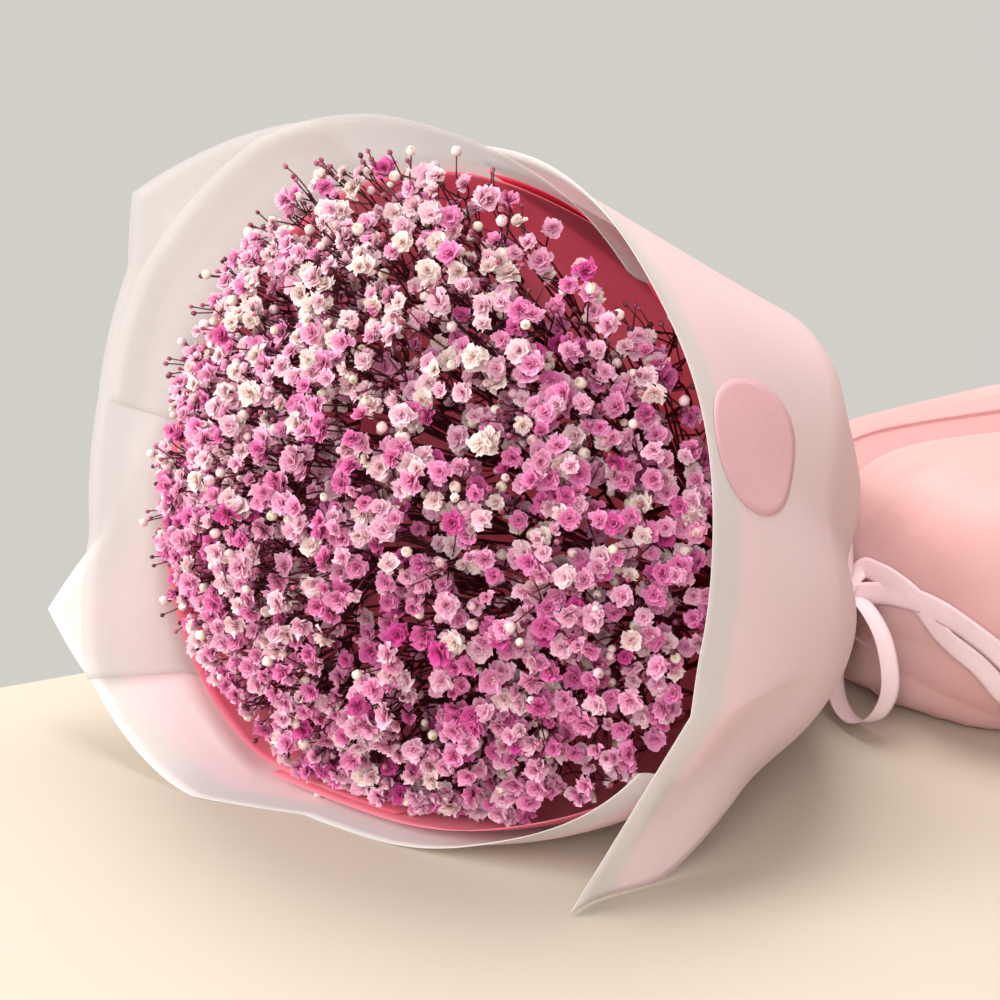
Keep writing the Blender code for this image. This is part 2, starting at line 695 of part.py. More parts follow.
def make_tail(surface, knot, route, pieces):
    """Loose end of the ribbon, lying down over the skirt."""
    angles, places = np.array(route).T
    steps = np.linspace(0, len(route) - 1, TAIL_POINTS)
    known = np.arange(len(route))
    found = [on_surface(surface, theta, s)
             for theta, s in zip(np.interp(steps, known, angles), np.interp(steps, known, places) * MM)]
    middles, normals = np.array(found).transpose(1, 0, 2)
    sides = np.cross(np.gradient(middles, axis=0), normals)
    sides = sides / np.linalg.norm(sides, axis=-1, keepdims=True) * RIBBON_WIDTH / 2
    table = np.stack([middles - sides, middles + sides], 1)
    lift_clear(surface, table, normals)
    first = np.array([[knot - sides[0], knot + sides[0]]])
    ribbon_strip(np.concatenate([first, table]), pieces)


def make_ribbon(surface, collection):
    """Satin ribbon round the tie, with its knot, two loops and two ends in one piece."""
    layers = len(SHEETS) - 1
    inner = TIE_RADIUS + layers * LAYER_AT_TIE + RIBBON_CLEAR
    band = ring_object("ribbon", inner, RIBBON_WIDTH / 2, RIBBON_THICKNESS, collection)
    pieces = new_pieces("ribbon_pieces")
    place, way, up = spine(np.array(0.0))
    knot = place + (inner + KNOT_SIZE[2] + KNOT_CLEAR) * across(KNOT_ANGLE, up)
    bm = bmesh.new()
    bmesh.ops.create_uvsphere(bm, u_segments=8, v_segments=5, radius=1.0)
    turn = Matrix.Rotation(math.radians(90 - KNOT_ANGLE), 4, "Y")
    scale = Matrix.Diagonal((*KNOT_SIZE, 1))
    bmesh.ops.transform(bm, matrix=Matrix.Translation(Vector(knot)) @ turn @ scale, verts=bm.verts)
    mesh = bpy.data.meshes.new("knot")
    bm.to_mesh(mesh)
    bm.free()
    link(bpy.data.objects.new("knot", mesh), pieces)
    for loop in RIBBON_LOOPS:
        points = [place + x * MM * X_AXIS + a * MM * way + h * MM * up for x, a, h in loop]
        points = [knot] + points + [knot]
        half = RIBBON_WIDTH / 2 * way
        ribbon_strip(np.array([[point - half, point + half] for point in points]), pieces)
    for route in RIBBON_TAILS:
        make_tail(surface, knot, route, pieces)
    unite(band, pieces)
    band.data.materials.clear()
    band.data.materials.append(make_material("satin_ribbon", (0.88, 0.68, 0.71), 0.3))


def move_to_footing(collection):
    """Put the origin under the middle of the bouquet's box, on the table."""
    corners = []
    bpy.context.view_layer.update()
    for obj in collection.objects:
        mesh = evaluated_mesh(obj)
        places = np.array([vert.co for vert in mesh.vertices])
        corners += [places.min(0), places.max(0)]
        bpy.data.meshes.remove(mesh)
    low = np.min(corners, axis=0)
    high = np.max(corners, axis=0)
    shift = Matrix.Translation((-(low[0] + high[0]) / 2, -(low[1] + high[1]) / 2, -low[2]))
    for obj in collection.objects:
        obj.data.transform(shift)


def build():
    remove_everything()
    bouquet = bpy.data.collections.new("gypsophila_bouquet")
    bpy.context.scene.collection.children.link(bouquet)
    sheets = {name: make_sheet(name, spec, bouquet) for name, spec in SHEETS.items()}
    outside = surface_of(sheets["film_right"])
    make_sprays(bouquet)
    make_stem_tie(bouquet)
    make_ribbon(outside, bouquet)
    make_sticker(outside, bouquet)
    move_to_footing(bouquet)


build()
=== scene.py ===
import math

import bpy
import numpy as np
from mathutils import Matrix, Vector


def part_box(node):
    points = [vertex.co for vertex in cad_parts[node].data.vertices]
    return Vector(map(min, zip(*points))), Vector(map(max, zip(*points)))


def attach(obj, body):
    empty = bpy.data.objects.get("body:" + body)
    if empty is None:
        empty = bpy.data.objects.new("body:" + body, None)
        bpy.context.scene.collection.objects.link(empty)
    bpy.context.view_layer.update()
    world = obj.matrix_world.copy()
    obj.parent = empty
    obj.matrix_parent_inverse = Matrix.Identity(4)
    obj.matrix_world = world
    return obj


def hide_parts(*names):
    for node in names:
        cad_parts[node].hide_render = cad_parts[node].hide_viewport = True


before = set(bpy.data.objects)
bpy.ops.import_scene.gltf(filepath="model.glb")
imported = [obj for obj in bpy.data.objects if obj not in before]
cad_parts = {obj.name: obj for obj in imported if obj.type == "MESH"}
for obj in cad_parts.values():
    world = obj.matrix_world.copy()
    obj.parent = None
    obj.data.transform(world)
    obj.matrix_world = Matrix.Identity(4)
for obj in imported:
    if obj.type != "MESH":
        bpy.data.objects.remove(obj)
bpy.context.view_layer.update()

# Wrapped gypsophila bouquet lying on its side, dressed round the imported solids.
# Everything is placed from the middle of the tie. A point on the wrap is given by
# s, the distance along the axis from the tie, and theta, the angle round it in degrees.

mm = 0.001
rng = np.random.default_rng(29)

axis = {
    "headLength": 196 * mm,
    "headRise": 24.8,           # degrees above the table
    "tailRise": 8,
    "tieHalf": 11.5 * mm,
    "bendLength": 15 * mm,
}
opening = {
    "yaw": 29.5,
    "pitch": 18.5,
    "radius": 115.5 * mm,
    "offset": (-4.5 * mm, -5.5 * mm),
    "bulge": (0.14, -22, 32),   # share, angle and spread
}

print("stage: axis and opening")


def smoothStep(x):
    x = np.clip(x, 0, 1)
    return x * x * (3 - 2 * x)


def bump(angle, centre, spread):
    # exp(-(distance / spread)^2), which is 1 at the centre angle
    away = (angle - centre + 180) % 360 - 180
    return np.exp(-(away / spread) ** 2)


def mix(low, high, part):
    return low + (high - low) * part


def lengths(vectors):
    return np.linalg.norm(vectors, axis=-1)


def unit(vectors):
    return vectors / lengths(vectors)[..., None]


def circle(count):
    return np.arange(count) * 2 * math.pi / count


def polar(turn, reach=1.0):
    return np.stack([reach * np.cos(turn), reach * np.sin(turn)], -1)


def facing(yaw, pitch):
    # unit vector turned by yaw from the front and raised by pitch, in degrees
    yaw, pitch = math.radians(yaw), math.radians(pitch)
    return np.array([math.sin(yaw) * math.cos(pitch), -math.cos(yaw) * math.cos(pitch),
                     math.sin(pitch)])


sideways = np.array([1.0, 0.0, 0.0])
headWay = facing(0, axis["headRise"])
headUp = np.cross(headWay, sideways)
tailWay = facing(0, -axis["tailRise"])
tieWay = unit(headWay + tailWay)

# the stem tie is a ring round the middle of the axis, so its box gives the tie's place
tieLow, tieHigh = (np.array(corner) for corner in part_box("stem_tie"))
tiePoint = (tieLow + tieHigh) / 2 - axis["tieHalf"] / 2 * (headWay - tailWay)

openingNormal = facing(opening["yaw"], opening["pitch"])
openingSide = facing(opening["yaw"] + 90, 0)
openingUp = np.cross(openingNormal, openingSide)
openingCentre = tiePoint + axis["headLength"] * headWay


def spine(s):
    # straight from one end of the tie to the other, then along the head or the tail;
    # the upward normal turns over bendLength at each end of the tie
    s = np.asarray(s, float)[..., None]
    half = axis["tieHalf"]
    part = np.clip((s + half) / (2 * half), 0, 1)
    place = mix(-half * tailWay, half * headWay, part)
    place = np.where(s < -half, s * tailWay, place)
    place = np.where(s > half, s * headWay, place)
    turn = np.clip((np.abs(s) - half) / axis["bendLength"], 0, 1)
    way = unit(tieWay + (np.where(s > 0, headWay, tailWay) - tieWay) * turn)
    return tiePoint + place, np.cross(way, sideways)


def across(theta, up):
    # unit vector away from the axis: cos(theta) sideways + sin(theta) up
    turn = np.radians(np.asarray(theta, float))[..., None]
    return np.cos(turn) * sideways + np.sin(turn) * up


def rim(theta):
    # s and radius where a ray from the axis meets the slanted opening,
    # which is a circle that bulges at one side
    out = across(theta, headUp)
    slant = out @ openingNormal / (headWay @ openingNormal)
    reach = out - slant[..., None] * headWay
    centre = opening["offset"][0] * openingSide + opening["offset"][1] * openingUp
    a = (reach ** 2).sum(-1)
    b = reach @ centre
    c = centre @ centre - opening["radius"] ** 2
    radius = (b + np.sqrt(b * b - a * c)) / a
    share, angle, spread = opening["bulge"]
    radius = radius * (1 + share * bump(theta, angle, spread))
    return axis["headLength"] - radius * slant, radius


# Colours, nodes and meshes

def linearColour(text):
    # sRGB hex to linear: c / 12.92 under 0.04045, else ((c + 0.055) / 1.055) ^ 2.4
    parts = np.array([int(text[i:i + 2], 16) / 255 for i in (1, 3, 5)])
    linear = np.where(parts <= 0.04045, parts / 12.92, ((parts + 0.055) / 1.055) ** 2.4)
    return (*linear, 1.0)


def addNode(material, kind, inputs=None, **settings):
    # one node with its settings, its fixed inputs and its links
    tree = material.node_tree
    node = tree.nodes.new(kind)
    for name, value in settings.items():
        setattr(node, name, value)
    for socket, value in (inputs or {}).items():
        if isinstance(value, bpy.types.NodeSocket):
            tree.links.new(value, node.inputs[socket])
        else:
            node.inputs[socket].default_value = value
    return node


def newMaterial(name):
    material = bpy.data.materials.new(name)
    material.use_nodes = True
    material.node_tree.nodes.clear()
    return material


def attribute(material, name):
    return addNode(material, "ShaderNodeAttribute", attribute_name=name).outputs["Fac"]


def noiseOver(material, scale, detail):
    # a grain is about 1 / scale metres
    place = addNode(material, "ShaderNodeTexCoord").outputs["Object"]
    inputs = {"Vector": place, "Scale": scale, "Detail": detail}
    return addNode(material, "ShaderNodeTexNoise", inputs).outputs[0]


def relief(material, height, strength, distance):
    inputs = {"Height": height, "Strength": strength, "Distance": distance}
    return addNode(material, "ShaderNodeBump", inputs).outputs[0]


def mathOn(material, operation, first, second=0.0):
    node = addNode(material, "ShaderNodeMath", {0: first, 1: second}, operation=operation)
    return node.outputs[0]


def ramp(material, factor, stops):
    # colour ramp from (place, hex) stops
    node = addNode(material, "ShaderNodeValToRGB", {"Fac": factor})
    elements = node.color_ramp.elements
    while len(elements) < len(stops):
        elements.new(0.5)
    for element, (place, colour) in zip(elements, stops):
        element.position = place
        element.color = linearColour(colour)
    return node.outputs["Color"]


def mixColours(material, factor, first, second):
    inputs = {0: factor, 6: first, 7: second}
    return addNode(material, "ShaderNodeMix", inputs, data_type="RGBA").outputs[2]


def setSurface(material, colour, roughness, more=None, glow=0):
    # one surface shader, mixed with a share of glow where light comes through the material
    shader = addNode(material, "ShaderNodeBsdfPrincipled",
                     {"Base Color": colour, "Roughness": roughness, **(more or {})})
    if glow:
        through = addNode(material, "ShaderNodeBsdfTranslucent", {"Color": colour})
        shader = addNode(material, "ShaderNodeMixShader",
                         {0: glow, 1: shader.outputs[0], 2: through.outputs[0]})
    addNode(material, "ShaderNodeOutputMaterial", {"Surface": shader.outputs[0]})
    return material


def addObject(name, data):
    added = bpy.data.objects.new(name, data)
    bpy.context.scene.collection.objects.link(added)
    return added


def meshObject(name, points, faces, material, values=None):
    # points (n, 3), faces as lists of corners, values as one float attribute each
    mesh = bpy.data.meshes.new(name)
    mesh.from_pydata(points.tolist(), [], faces)
    for key, numbers in (values or {}).items():
        layer = mesh.attributes.new(key, "FLOAT", "POINT")
        layer.data.foreach_set("value", np.asarray(numbers, np.float32))
    mesh.shade_smooth()
    mesh.materials.append(material)
    mesh.update()
    piece = addObject(name, mesh)
    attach(piece, "root")
    return piece


def gridFaces(rows, cols, closed=False):
    # quads of a table of points, wound from columns to rows
    i, j = np.meshgrid(np.arange(rows - 1), np.arange(cols if closed else cols - 1), indexing="ij")
    k = (j + 1) % cols
    quads = np.stack([i * cols + j, i * cols + k, (i + 1) * cols + k, (i + 1) * cols + j], -1)
    return quads.reshape(-1, 4)


def joinMeshes(parts):
    # one mesh from parts, each of points, faces and values; stems have no values
    faces, start = [], 0
    for part in parts:
        faces += [[corner + start for corner in face] for face in part[1]]
        start += len(part[0])
    values = [part[2] for part in parts if len(part) > 2]
    return (np.concatenate([part[0] for part in parts]), faces,
            np.concatenate(values, -1) if values else None)


def sideAxes(ways):
    # two unit vectors across each direction, the first level unless it is nearly upright
    helper = np.where(np.abs(ways[:, 2:]) < 0.9, [[0, 0, 1.0]], [[1.0, 0, 0]])
    first = unit(np.cross(helper, ways))
    return first, np.cross(ways, first)


def addThickness(piece, thickness, offset=-1):
    shell = piece.modifiers.new("thickness", "SOLIDIFY")
    shell.thickness = thickness
    shell.offset = offset
    shell.use_rim = True


# Wrap

wrap = {
    "tieRadius": 12.6 * mm,
    "tieBandHalf": 10.5 * mm,
    "fullness": (1.7, 3.45, 35, 60),      # back, top, angle and spread
    "flatness": (0.37, 30, 18),           # share, angle and spread
    # height, height at the rim, place, angle and spread
    "shoulder": (10.4 * mm, -2 * mm, 0.53, 56, 20),
    "corner": (0.24, 0.53, 53, 44),       # two places with straight runs between, angle, spread
    "flare": (0.15, 0.5, 185, 75),        # front, back, angle and spread
    "skirtLength": 155 * mm,
    "skirtSide": 80 * mm,
    "skirtTop": 46 * mm,
    "skirtFall": 0.56,
    "skirtSwell": 14.5 * mm,
    # depth, place and length along the head, angle and spread
    "tuck": (8 * mm, 0.6, 0.3, -30, 24),
    # reach, set back, first and last angle, power along the head
    "flap": (30 * mm, 10 * mm, -4, -48, 2.5),
    "flapCut": (16, 0.45),                # degrees its cut edge runs back, over a part of the head
    "flapTip": (108.9 * mm, -169 * mm, -32.2 * mm),   # from the tie
    "flapLine": (-14, 0.65),              # angle where its edge starts, part of the head that moves
    "flapClear": 0.6 * mm,
    "layerStep": (1.0 * mm, 1.5 * mm),    # between sheets at the tie and at the rim
    "layerGrowth": 60 * mm,
    "layerSpread": 0.05,
    # layer that lies on the table; angle, half width and softness where one more lies under it
    "floorLayers": (4, 24, 96, 12),
    "floorSoftness": 2.5 * mm,
    "pleatDepth": 1.3 * mm,
    "pleatPlace": 22 * mm,
    "pleatLength": 17 * mm,
    "pleats": ((3.5, 20, 1, 1.0, 0.6), (8, 40, 2, 0.5, 0.3)),
    "creaseDepth": 2.6 * mm,
    "creases": ((14, -22, 9, 1.0), (48, 10, 12, -0.9), (86, -14, 10, 0.8), (124, 16, 11, 0.9),
                (168, -12, 12, -0.8), (205, 10, 10, 0.7), (-14, -26, 8, -0.9), (66, 4, 7, 0.6)),
    "facetHeight": 0.9 * mm,
    "facets": ((3, 50, 1.0), (7, -80, 0.6)),
    "facetStart": (30 * mm, 60 * mm),     # from the tie, and how slowly they start
    "filmThickness": 0.25 * mm,
    "slopeStep": 0.4,                     # for normals, in degrees and millimetres
}


def sine(degrees):
    return np.sin(np.radians(degrees))


def headPart(s, rimS):
    # 0 in the tie and 1 at the opening
    return np.clip((s - wrap["tieBandHalf"]) / (rimS - wrap["tieBandHalf"]), 0, 1)


def gathers(theta, s):
    # folds drawn in by the ribbon: height * |sin(count theta + drift sin(times theta))| - mean,
    # strongest pleatPlace from the tie
    wave = sum(height * np.abs(sine(count * theta + drift * sine(times * theta))) - mean
               for count, drift, times, height, mean in wrap["pleats"])
    near = np.exp(-((np.abs(s) - wrap["pleatPlace"]) / wrap["pleatLength"]) ** 2)
    inside = smoothStep((np.abs(s) - 0.6 * wrap["tieBandHalf"]) / wrap["tieBandHalf"])
    return wrap["pleatDepth"] * wave * near * inside


def skirtCreases(theta, s):
    # ridges height * exp(-|away / width|^1.5) that run out from the tie, drift round it
    # and widen with the distance behind it
    behind = np.clip(-s, 0, None) / wrap["skirtLength"]
    total = np.zeros(np.broadcast(theta, s).shape)
    for angle, drift, width, height in wrap["creases"]:
        away = (theta - angle - drift * behind + 180) % 360 - 180
        total = total + height * np.exp(-np.abs(away / (width * (0.6 + behind))) ** 1.5)
    return wrap["creaseDepth"] * total * smoothStep(behind * 5)


def headFacets(theta, s):
    # shallow, broad facets of the stiff film over the head: share * sin(count theta + turn)
    wave = sum(share * sine(count * theta + turn) for count, turn, share in wrap["facets"])
    start, over = wrap["facetStart"]
    return wrap["facetHeight"] * wave * smoothStep((s - start) / over)


def headSwell(theta, t):
    # 1 - (1 - t)^fullness, pulled to straight runs between the corner's places at the top
    back, top, angle, spread = wrap["fullness"]
    full = mix(back, top, bump(theta, angle, spread))
    first, second, angle, spread = wrap["corner"]
    atFirst, atSecond = 1 - (1 - first) ** full, 1 - (1 - second) ** full
    middleRun = mix(atFirst, atSecond, (t - first) / (second - first))
    lastRun = mix(atSecond, 1, (t - second) / (1 - second))
    straight = np.where(t < first, atFirst * t / first, np.where(t < second, middleRun, lastRun))
    smooth = mix(1 - (1 - t) ** full, straight, bump(theta, angle, spread))
    share, angle, spread = wrap["flatness"]
    return mix(smooth, t, share * bump(theta, angle, spread))


def wrapRadius(theta, s):
    # head: tie radius + (rim radius - tie radius) * swell + shoulder + flare past the rim - tuck
    # skirt: tie radius + reach * (1 - exp(-distance / swell))
    rimS, rimR = rim(theta)
    t = headPart(s, rimS)
    height, atRim, place, angle, spread = wrap["shoulder"]
    rise = np.clip(t / place, 0, 1) * height
    rise = rise - np.clip((t - place) / (1 - place), 0, 1) * (height - atRim)
    rise = rise * bump(theta, angle, spread)
    front, back, angle, spread = wrap["flare"]
    flare = mix(front, back, bump(theta, angle, spread)) * np.clip(s - rimS, 0, None)
    depth, place, length, angle, spread = wrap["tuck"]
    tuck = depth * bump(theta, angle, spread) * np.exp(-((t - place) / length) ** 2)
    head = wrap["tieRadius"] + (rimR - wrap["tieRadius"]) * headSwell(theta, t)
    head = head + rise + flare - tuck
    behind = np.clip(-s - wrap["tieBandHalf"], 0, None)
    topReach = wrap["skirtTop"] * (1 - wrap["skirtFall"] * behind / wrap["skirtLength"])
    reach = mix(wrap["skirtSide"], topReach, sine(theta) ** 2)
    skirt = wrap["tieRadius"] + reach * (1 - np.exp(-behind / wrap["skirtSwell"]))
    folds = np.where(s > 0, headFacets(theta, s), skirtCreases(theta, s))
    return np.where(s >= 0, head, skirt) + (gathers(theta, s) + folds)


def floorLevel(theta, layer):
    # lowest height of a layer, so that the sheets lie on each other on the table
    lowest, centre, half, soft = wrap["floorLayers"]
    away = np.abs((theta - centre + 180) % 360 - 180)
    under = smoothStep((half - away) / soft)
    return np.clip(lowest + under - layer, 0, None) * wrap["layerStep"][1]


def innerFace(theta, s, flap):
    # the wrap's inner face: spine place + radius * across
    place, up = spine(s)
    radius = wrapRadius(theta, s)
    if flap:
        reach, back, first, last, power = wrap["flap"]
        part = smoothStep((first - theta) / (first - last)) * headPart(s, rim(theta)[0]) ** power
        radius = radius + reach * part
        place = place - back * part[..., None] * headWay
    return place + radius[..., None] * across(theta, up)


def wrapPoint(theta, s, layer, lift=0.0, flap=False):
    # inner face moved out along its normal by the layer's offset, and kept above the table
    theta, s = np.broadcast_arrays(np.asarray(theta, float), np.asarray(s, float))
    step = wrap["slopeStep"]
    ahead = innerFace(theta, s + step * mm, flap) - innerFace(theta, s - step * mm, flap)
    aside = innerFace(theta + step, s, flap) - innerFace(theta - step, s, flap)
    normal = unit(np.cross(aside, ahead))
    grow = smoothStep((np.abs(s) - wrap["tieBandHalf"]) / wrap["layerGrowth"])
    past = np.clip(s - rim(theta)[0], 0, None)
    offset = layer * (mix(*wrap["layerStep"], grow) + wrap["layerSpread"] * past) + lift
    points = innerFace(theta, s, flap) + offset[..., None] * normal
    above = points[..., 2] - floorLevel(theta, layer)
    soft = wrap["floorSoftness"]
    points[..., 2] = floorLevel(theta, layer) + (above + np.sqrt(above ** 2 + soft ** 2)) / 2
    return points, normal


# each sheet: layer from the inside, first and last angle, its edge as (angle, mm past the opening)
sheets = {
    "inner_sheet_left": (0, 72, 288, [(72, -30), (84, -16), (92, -7), (100, -4), (200, -2),
                                      (288, -2)]),
    "inner_sheet_right": (1, -96, 96, [(-96, 1), (-60, 0), (-36, -9), (-10, -13), (30, -12),
                                       (60, -8), (96, -5)]),
    "film_top": (2, 60, 192, [(60, 4), (84, 9), (108, 22), (132, 28), (168, 29), (192, 24)]),
    "film_left": (3, 120, 240, [(120, 22), (156, 46), (168, 34), (192, 28), (216, 26), (240, 36)]),
    "film_bottom": (4, 192, 336, [(192, 8), (216, 22), (228, 43), (240, 34), (252, 31), (264, 27),
                                  (276, 8), (300, 5), (336, 4)]),
    "film_right": (5, -48, 96, [(-48, 2), (-36, 3), (-24, 4), (60, 6), (84, 5), (96, 3)]),
}
sheetGrid = {"degrees": 1.5, "skirtRows": 26, "bandRows": 7, "headRows": 52}
# how the painted light on the sheets sets in: over the skirt, from an angle near the table, and
# back from the edge
paintedLightMasks = {"skirt": 30 * mm, "low": (-24, 22), "paintedTissueGlow": (11 * mm, 5 * mm)}


def makeTissue(name, darker, lighter):
    # dyed tissue paper, calendered smooth: even coral, soft, glows where light comes through;
    # 45 mm patches where the dye took more or less, and 0.9 mm fibres
    material = newMaterial(name)
    colour = ramp(material, noiseOver(material, 22, 2), [(0.3, darker), (0.7, lighter)])
    # lighter pink near the table: painted light, the low part of the tissue painted as if lit more
    colour = mixColours(material, attribute(material, "low"), colour, linearColour("#f59fb0"))
    fibres = relief(material, noiseOver(material, 1100, 3), 0.12, 0.4 * mm)
    more = {"IOR": 1.45, "Specular IOR Level": 0.3, "Normal": fibres}
    return setSurface(material, colour, 0.62, more, glow=0.5)


def makeFilm(name, darker, lighter, bare, cover, glow):
    # frosted polypropylene film, embossed matt: milky, see-through to its cover, soft sheen; its
    # colour is painted pinker where tissue lies behind it and behind the tie, painted light of the
    # tissue through it
    material = newMaterial(name)
    colour = ramp(material, noiseOver(material, 9, 2), [(0.3, darker), (0.7, lighter)])
    # darker to lighter where tissue lies behind, bare elsewhere: painted light of the tissue
    # through the film, bare is the film's own colour
    colour = mixColours(material, attribute(material, "paintedTissueGlow"), linearColour(bare), colour)
    # pink behind the tie: painted light of the tissue and of light bounced inside the skirt
    colour = mixColours(material, attribute(material, "skirt"), colour, linearColour("#f8d0cd"))
    frost = relief(material, noiseOver(material, 1600, 2), 0.08, 0.2 * mm)
    return setSurface(material, colour, 0.48, {"IOR": 1.49, "Alpha": cover, "Normal": frost}, glow)


def makeSheet(name, layer, first, last, outline, material, slot):
    isFlap = name == "film_right"
    cols = int(round((last - first) / sheetGrid["degrees"])) + 1
    theta = np.linspace(first, last, cols)[None]
    rimS, _ = rim(theta)
    angles, reach = np.array(outline, float).T
    edge = (rimS + np.interp(theta, angles, reach) * mm)[0]
    band = wrap["tieBandHalf"]
    skirt = np.linspace(-wrap["skirtLength"], -band, sheetGrid["skirtRows"], endpoint=False)
    middle = np.linspace(-band, band, sheetGrid["bandRows"], endpoint=False)
    head = band + np.linspace(0, 1, sheetGrid["headRows"])[:, None] * (edge - band)
    s = np.concatenate([np.repeat(np.concatenate([skirt, middle])[:, None], cols, 1), head])
    if isFlap:
        # the flap is cut to a point: its edge runs back from the tip
        degrees, part = wrap["flapCut"]
        back = smoothStep((1 - headPart(s, rimS)) / part) * degrees * (s > 0)
        theta = theta + back * (last - theta) / (last - first)
    points, _ = wrapPoint(theta, s, layer, flap=isFlap)
    if isFlap:
        # the flap's edge is straight from its start to the tip, and the sheet behind it follows
        start, part = wrap["flapLine"]
        near = np.abs(theta[-1] - start).argmin()
        along = np.clip((start - theta[-1]) / (start - first), 0, 1)[:, None]
        line = mix(points[-1, near], tiePoint + np.array(wrap["flapTip"]), along)
        follow = smoothStep(1 - (1 - headPart(s, rimS)) / part) * (s > 0)
        points = points + np.where(along > 0, line - points[-1], 0) * follow[..., None]
        points[..., 2] = np.maximum(points[..., 2], wrap["flapClear"])
    # skirt: 1 behind the tie, where the film is painted pink; low: 1 near the table, where the
    # tissue is painted a lighter pink; and 1 where tissue lies behind the film, which is painted
    # pinker or lighter there; all three are painted light
    (paintedLightStart, paintedLightOver), (tissueGlowStart, tissueGlowOver) = paintedLightMasks["low"], paintedLightMasks["paintedTissueGlow"]
    values = {"skirt": smoothStep(-s / paintedLightMasks["skirt"]),
              "low": smoothStep((paintedLightStart - theta) / paintedLightOver) * (s > 0),
              "paintedTissueGlow": np.maximum(smoothStep((edge - s - tissueGlowStart) / tissueGlowOver), s < 0)}
    piece = meshObject(name + "_sheet", points.reshape(-1, 3), gridFaces(*s.shape).tolist(),
                       material, {key: part.reshape(-1) for key, part in values.items()})
    addThickness(piece, wrap["filmThickness"])
    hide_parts(name)


print("stage: wrapping sheets")
sheetMaterials = {
    "inner_sheet_left": makeTissue("dyed_tissue_paper_light", "#f27f98", "#f79db0"),
    "inner_sheet_right": makeTissue("dyed_tissue_paper_deep", "#fb4a72", "#ff6a8a"),
}
# where tissue lies behind them, both films are painted pinker or lighter: painted light, not the
# films' own colour
thinFilm = makeFilm("frosted_polypropylene_film_thin", "#ddd3d1", "#ded7d4", "#d5cecb", 0.36, 0.1)
denseFilm = makeFilm("frosted_polypropylene_film_dense", "#f8e1e4", "#f9e8e9", "#e9e3e1", 0.82, 0.3)
sheetMaterials.update(film_top=thinFilm, film_left=thinFilm, film_bottom=denseFilm,
                      film_right=denseFilm)
for sheetName, sheetSpec in sheets.items():
    sheetSlot = "coral_paper" if sheetName.startswith("inner") else "frosted_film"
    makeSheet(sheetName, *sheetSpec, sheetMaterials[sheetName], sheetSlot)


# Flower head

dome = {
    "centre": (-4 * mm, -5 * mm),
    "reach": 110 * mm,
    "rise": 56 * mm,
    "lean": 24 * mm,
    "roundness": 2.2,
    "facing": 0.6,
    "floorClear": 12 * mm,
    "inside": (20 * mm, 48 * mm),   # kept inside the wrap from the tie on, to past the opening
    "slopeStep": 0.01,
}


def domePoint(flat, lift=0.0):
    # a flattened dome over the opening: rise * (1 - reach^roundness) + lean at the upper side
    flat = np.asarray(flat, float)
    square = (flat ** 2).sum(-1)
    height = dome["rise"] * (1 - np.clip(square, 0, 1) ** (dome["roundness"] / 2)) + lift
    height = height + dome["lean"] * np.clip(flat[..., 1], 0, 1) ** 2
    share, middle, spread = opening["bulge"]
    angle = np.degrees(np.arctan2(flat[..., 1], flat[..., 0]))
    bulge = 1 + share * bump(angle, middle, spread) * square
    a, b = (dome["centre"][k] + flat[..., k] * dome["reach"] * bulge for k in range(2))
    point = openingCentre + a[..., None] * openingSide + b[..., None] * openingUp
    point = point + height[..., None] * openingNormal
    point[..., 2] = np.maximum(point[..., 2], dome["floorClear"])
    return point


def domeNormals(flat):
    here = domePoint(flat)
    step = dome["slopeStep"]
    side = domePoint(flat + np.array([step, 0])) - here
    up = domePoint(flat + np.array([0, step])) - here
    normal = np.cross(side, up)
    normal = unit(normal * np.sign(normal @ openingNormal)[:, None])
    return unit(normal + dome["facing"] * openingNormal)


def keepInside(places, gap):
    # moves a place in toward the axis until it is gap inside the wrap
    fromTie = places - tiePoint
    s = fromTie @ headWay
    a, b = fromTie @ sideways, fromTie @ headUp
    theta = np.degrees(np.arctan2(b, a))
    most = wrapRadius(theta, s) - gap
    start, past = dome["inside"]
    within = (s > start) & (s < rim(theta)[0] + past)
    share = np.where(within, np.minimum(most / np.hypot(a, b), 1), 1)
    return places + (a[:, None] * sideways + b[:, None] * headUp) * (share - 1)[:, None]


# Double blooms, 6 to 10 mm across
bloomSettings = {
    # number, spread of their places, heights over the dome
    "outer": (1080, 0.022, (-8 * mm, 5 * mm)),
    "deep": (460, 0.03, (-32 * mm, -12 * mm)),
    "deepReach": 0.93,
    "side": 330,
    "sideAngles": (-100, 38),
    "sideReach": (0.45, 1.12),      # squared
    "sideDrop": 4 * mm,
    "radius": (3.2 * mm, 5.1 * mm),
    "hollow": 13 * mm,
    "thinAt": (0.8, 0.1, 58, 22),   # reach, softness, angle and spread of the gap in the blooms
    "thinShare": (0.82, 0.35),      # blooms left out in the gap and in the hollows
    "wrapGap": 3.5 * mm,
    "tilt": 0.55,
    "kinds": 6,
    "edgeReach": 0.985,
    "halfOpen": (0.14, 0.75, 32),   # share of the blooms, their size and how far their petals lift
    # each whorl: petals, length, rise in degrees, height of its root
    "whorls": ((10, 1.0, 4, 0.0), (9, 0.9, 24, 0.03), (7, 0.76, 44, 0.06), (5, 0.6, 62, 0.08),
               (3, 0.46, 78, 0.1)),
}
# a petal's random turn and rise, its size, root, corners, notches, width, ruffles and shade
petal = {"turn": 0.3, "rise": 20, "size": (0.84, 1.06), "root": 0.1, "corner": 0.88,
         "notch": (-0.3, 0.08), "width": (2.1, 0.13), "ruffle": 0.24, "cup": 0.07,
         "shade": (0.72, 1.0)}


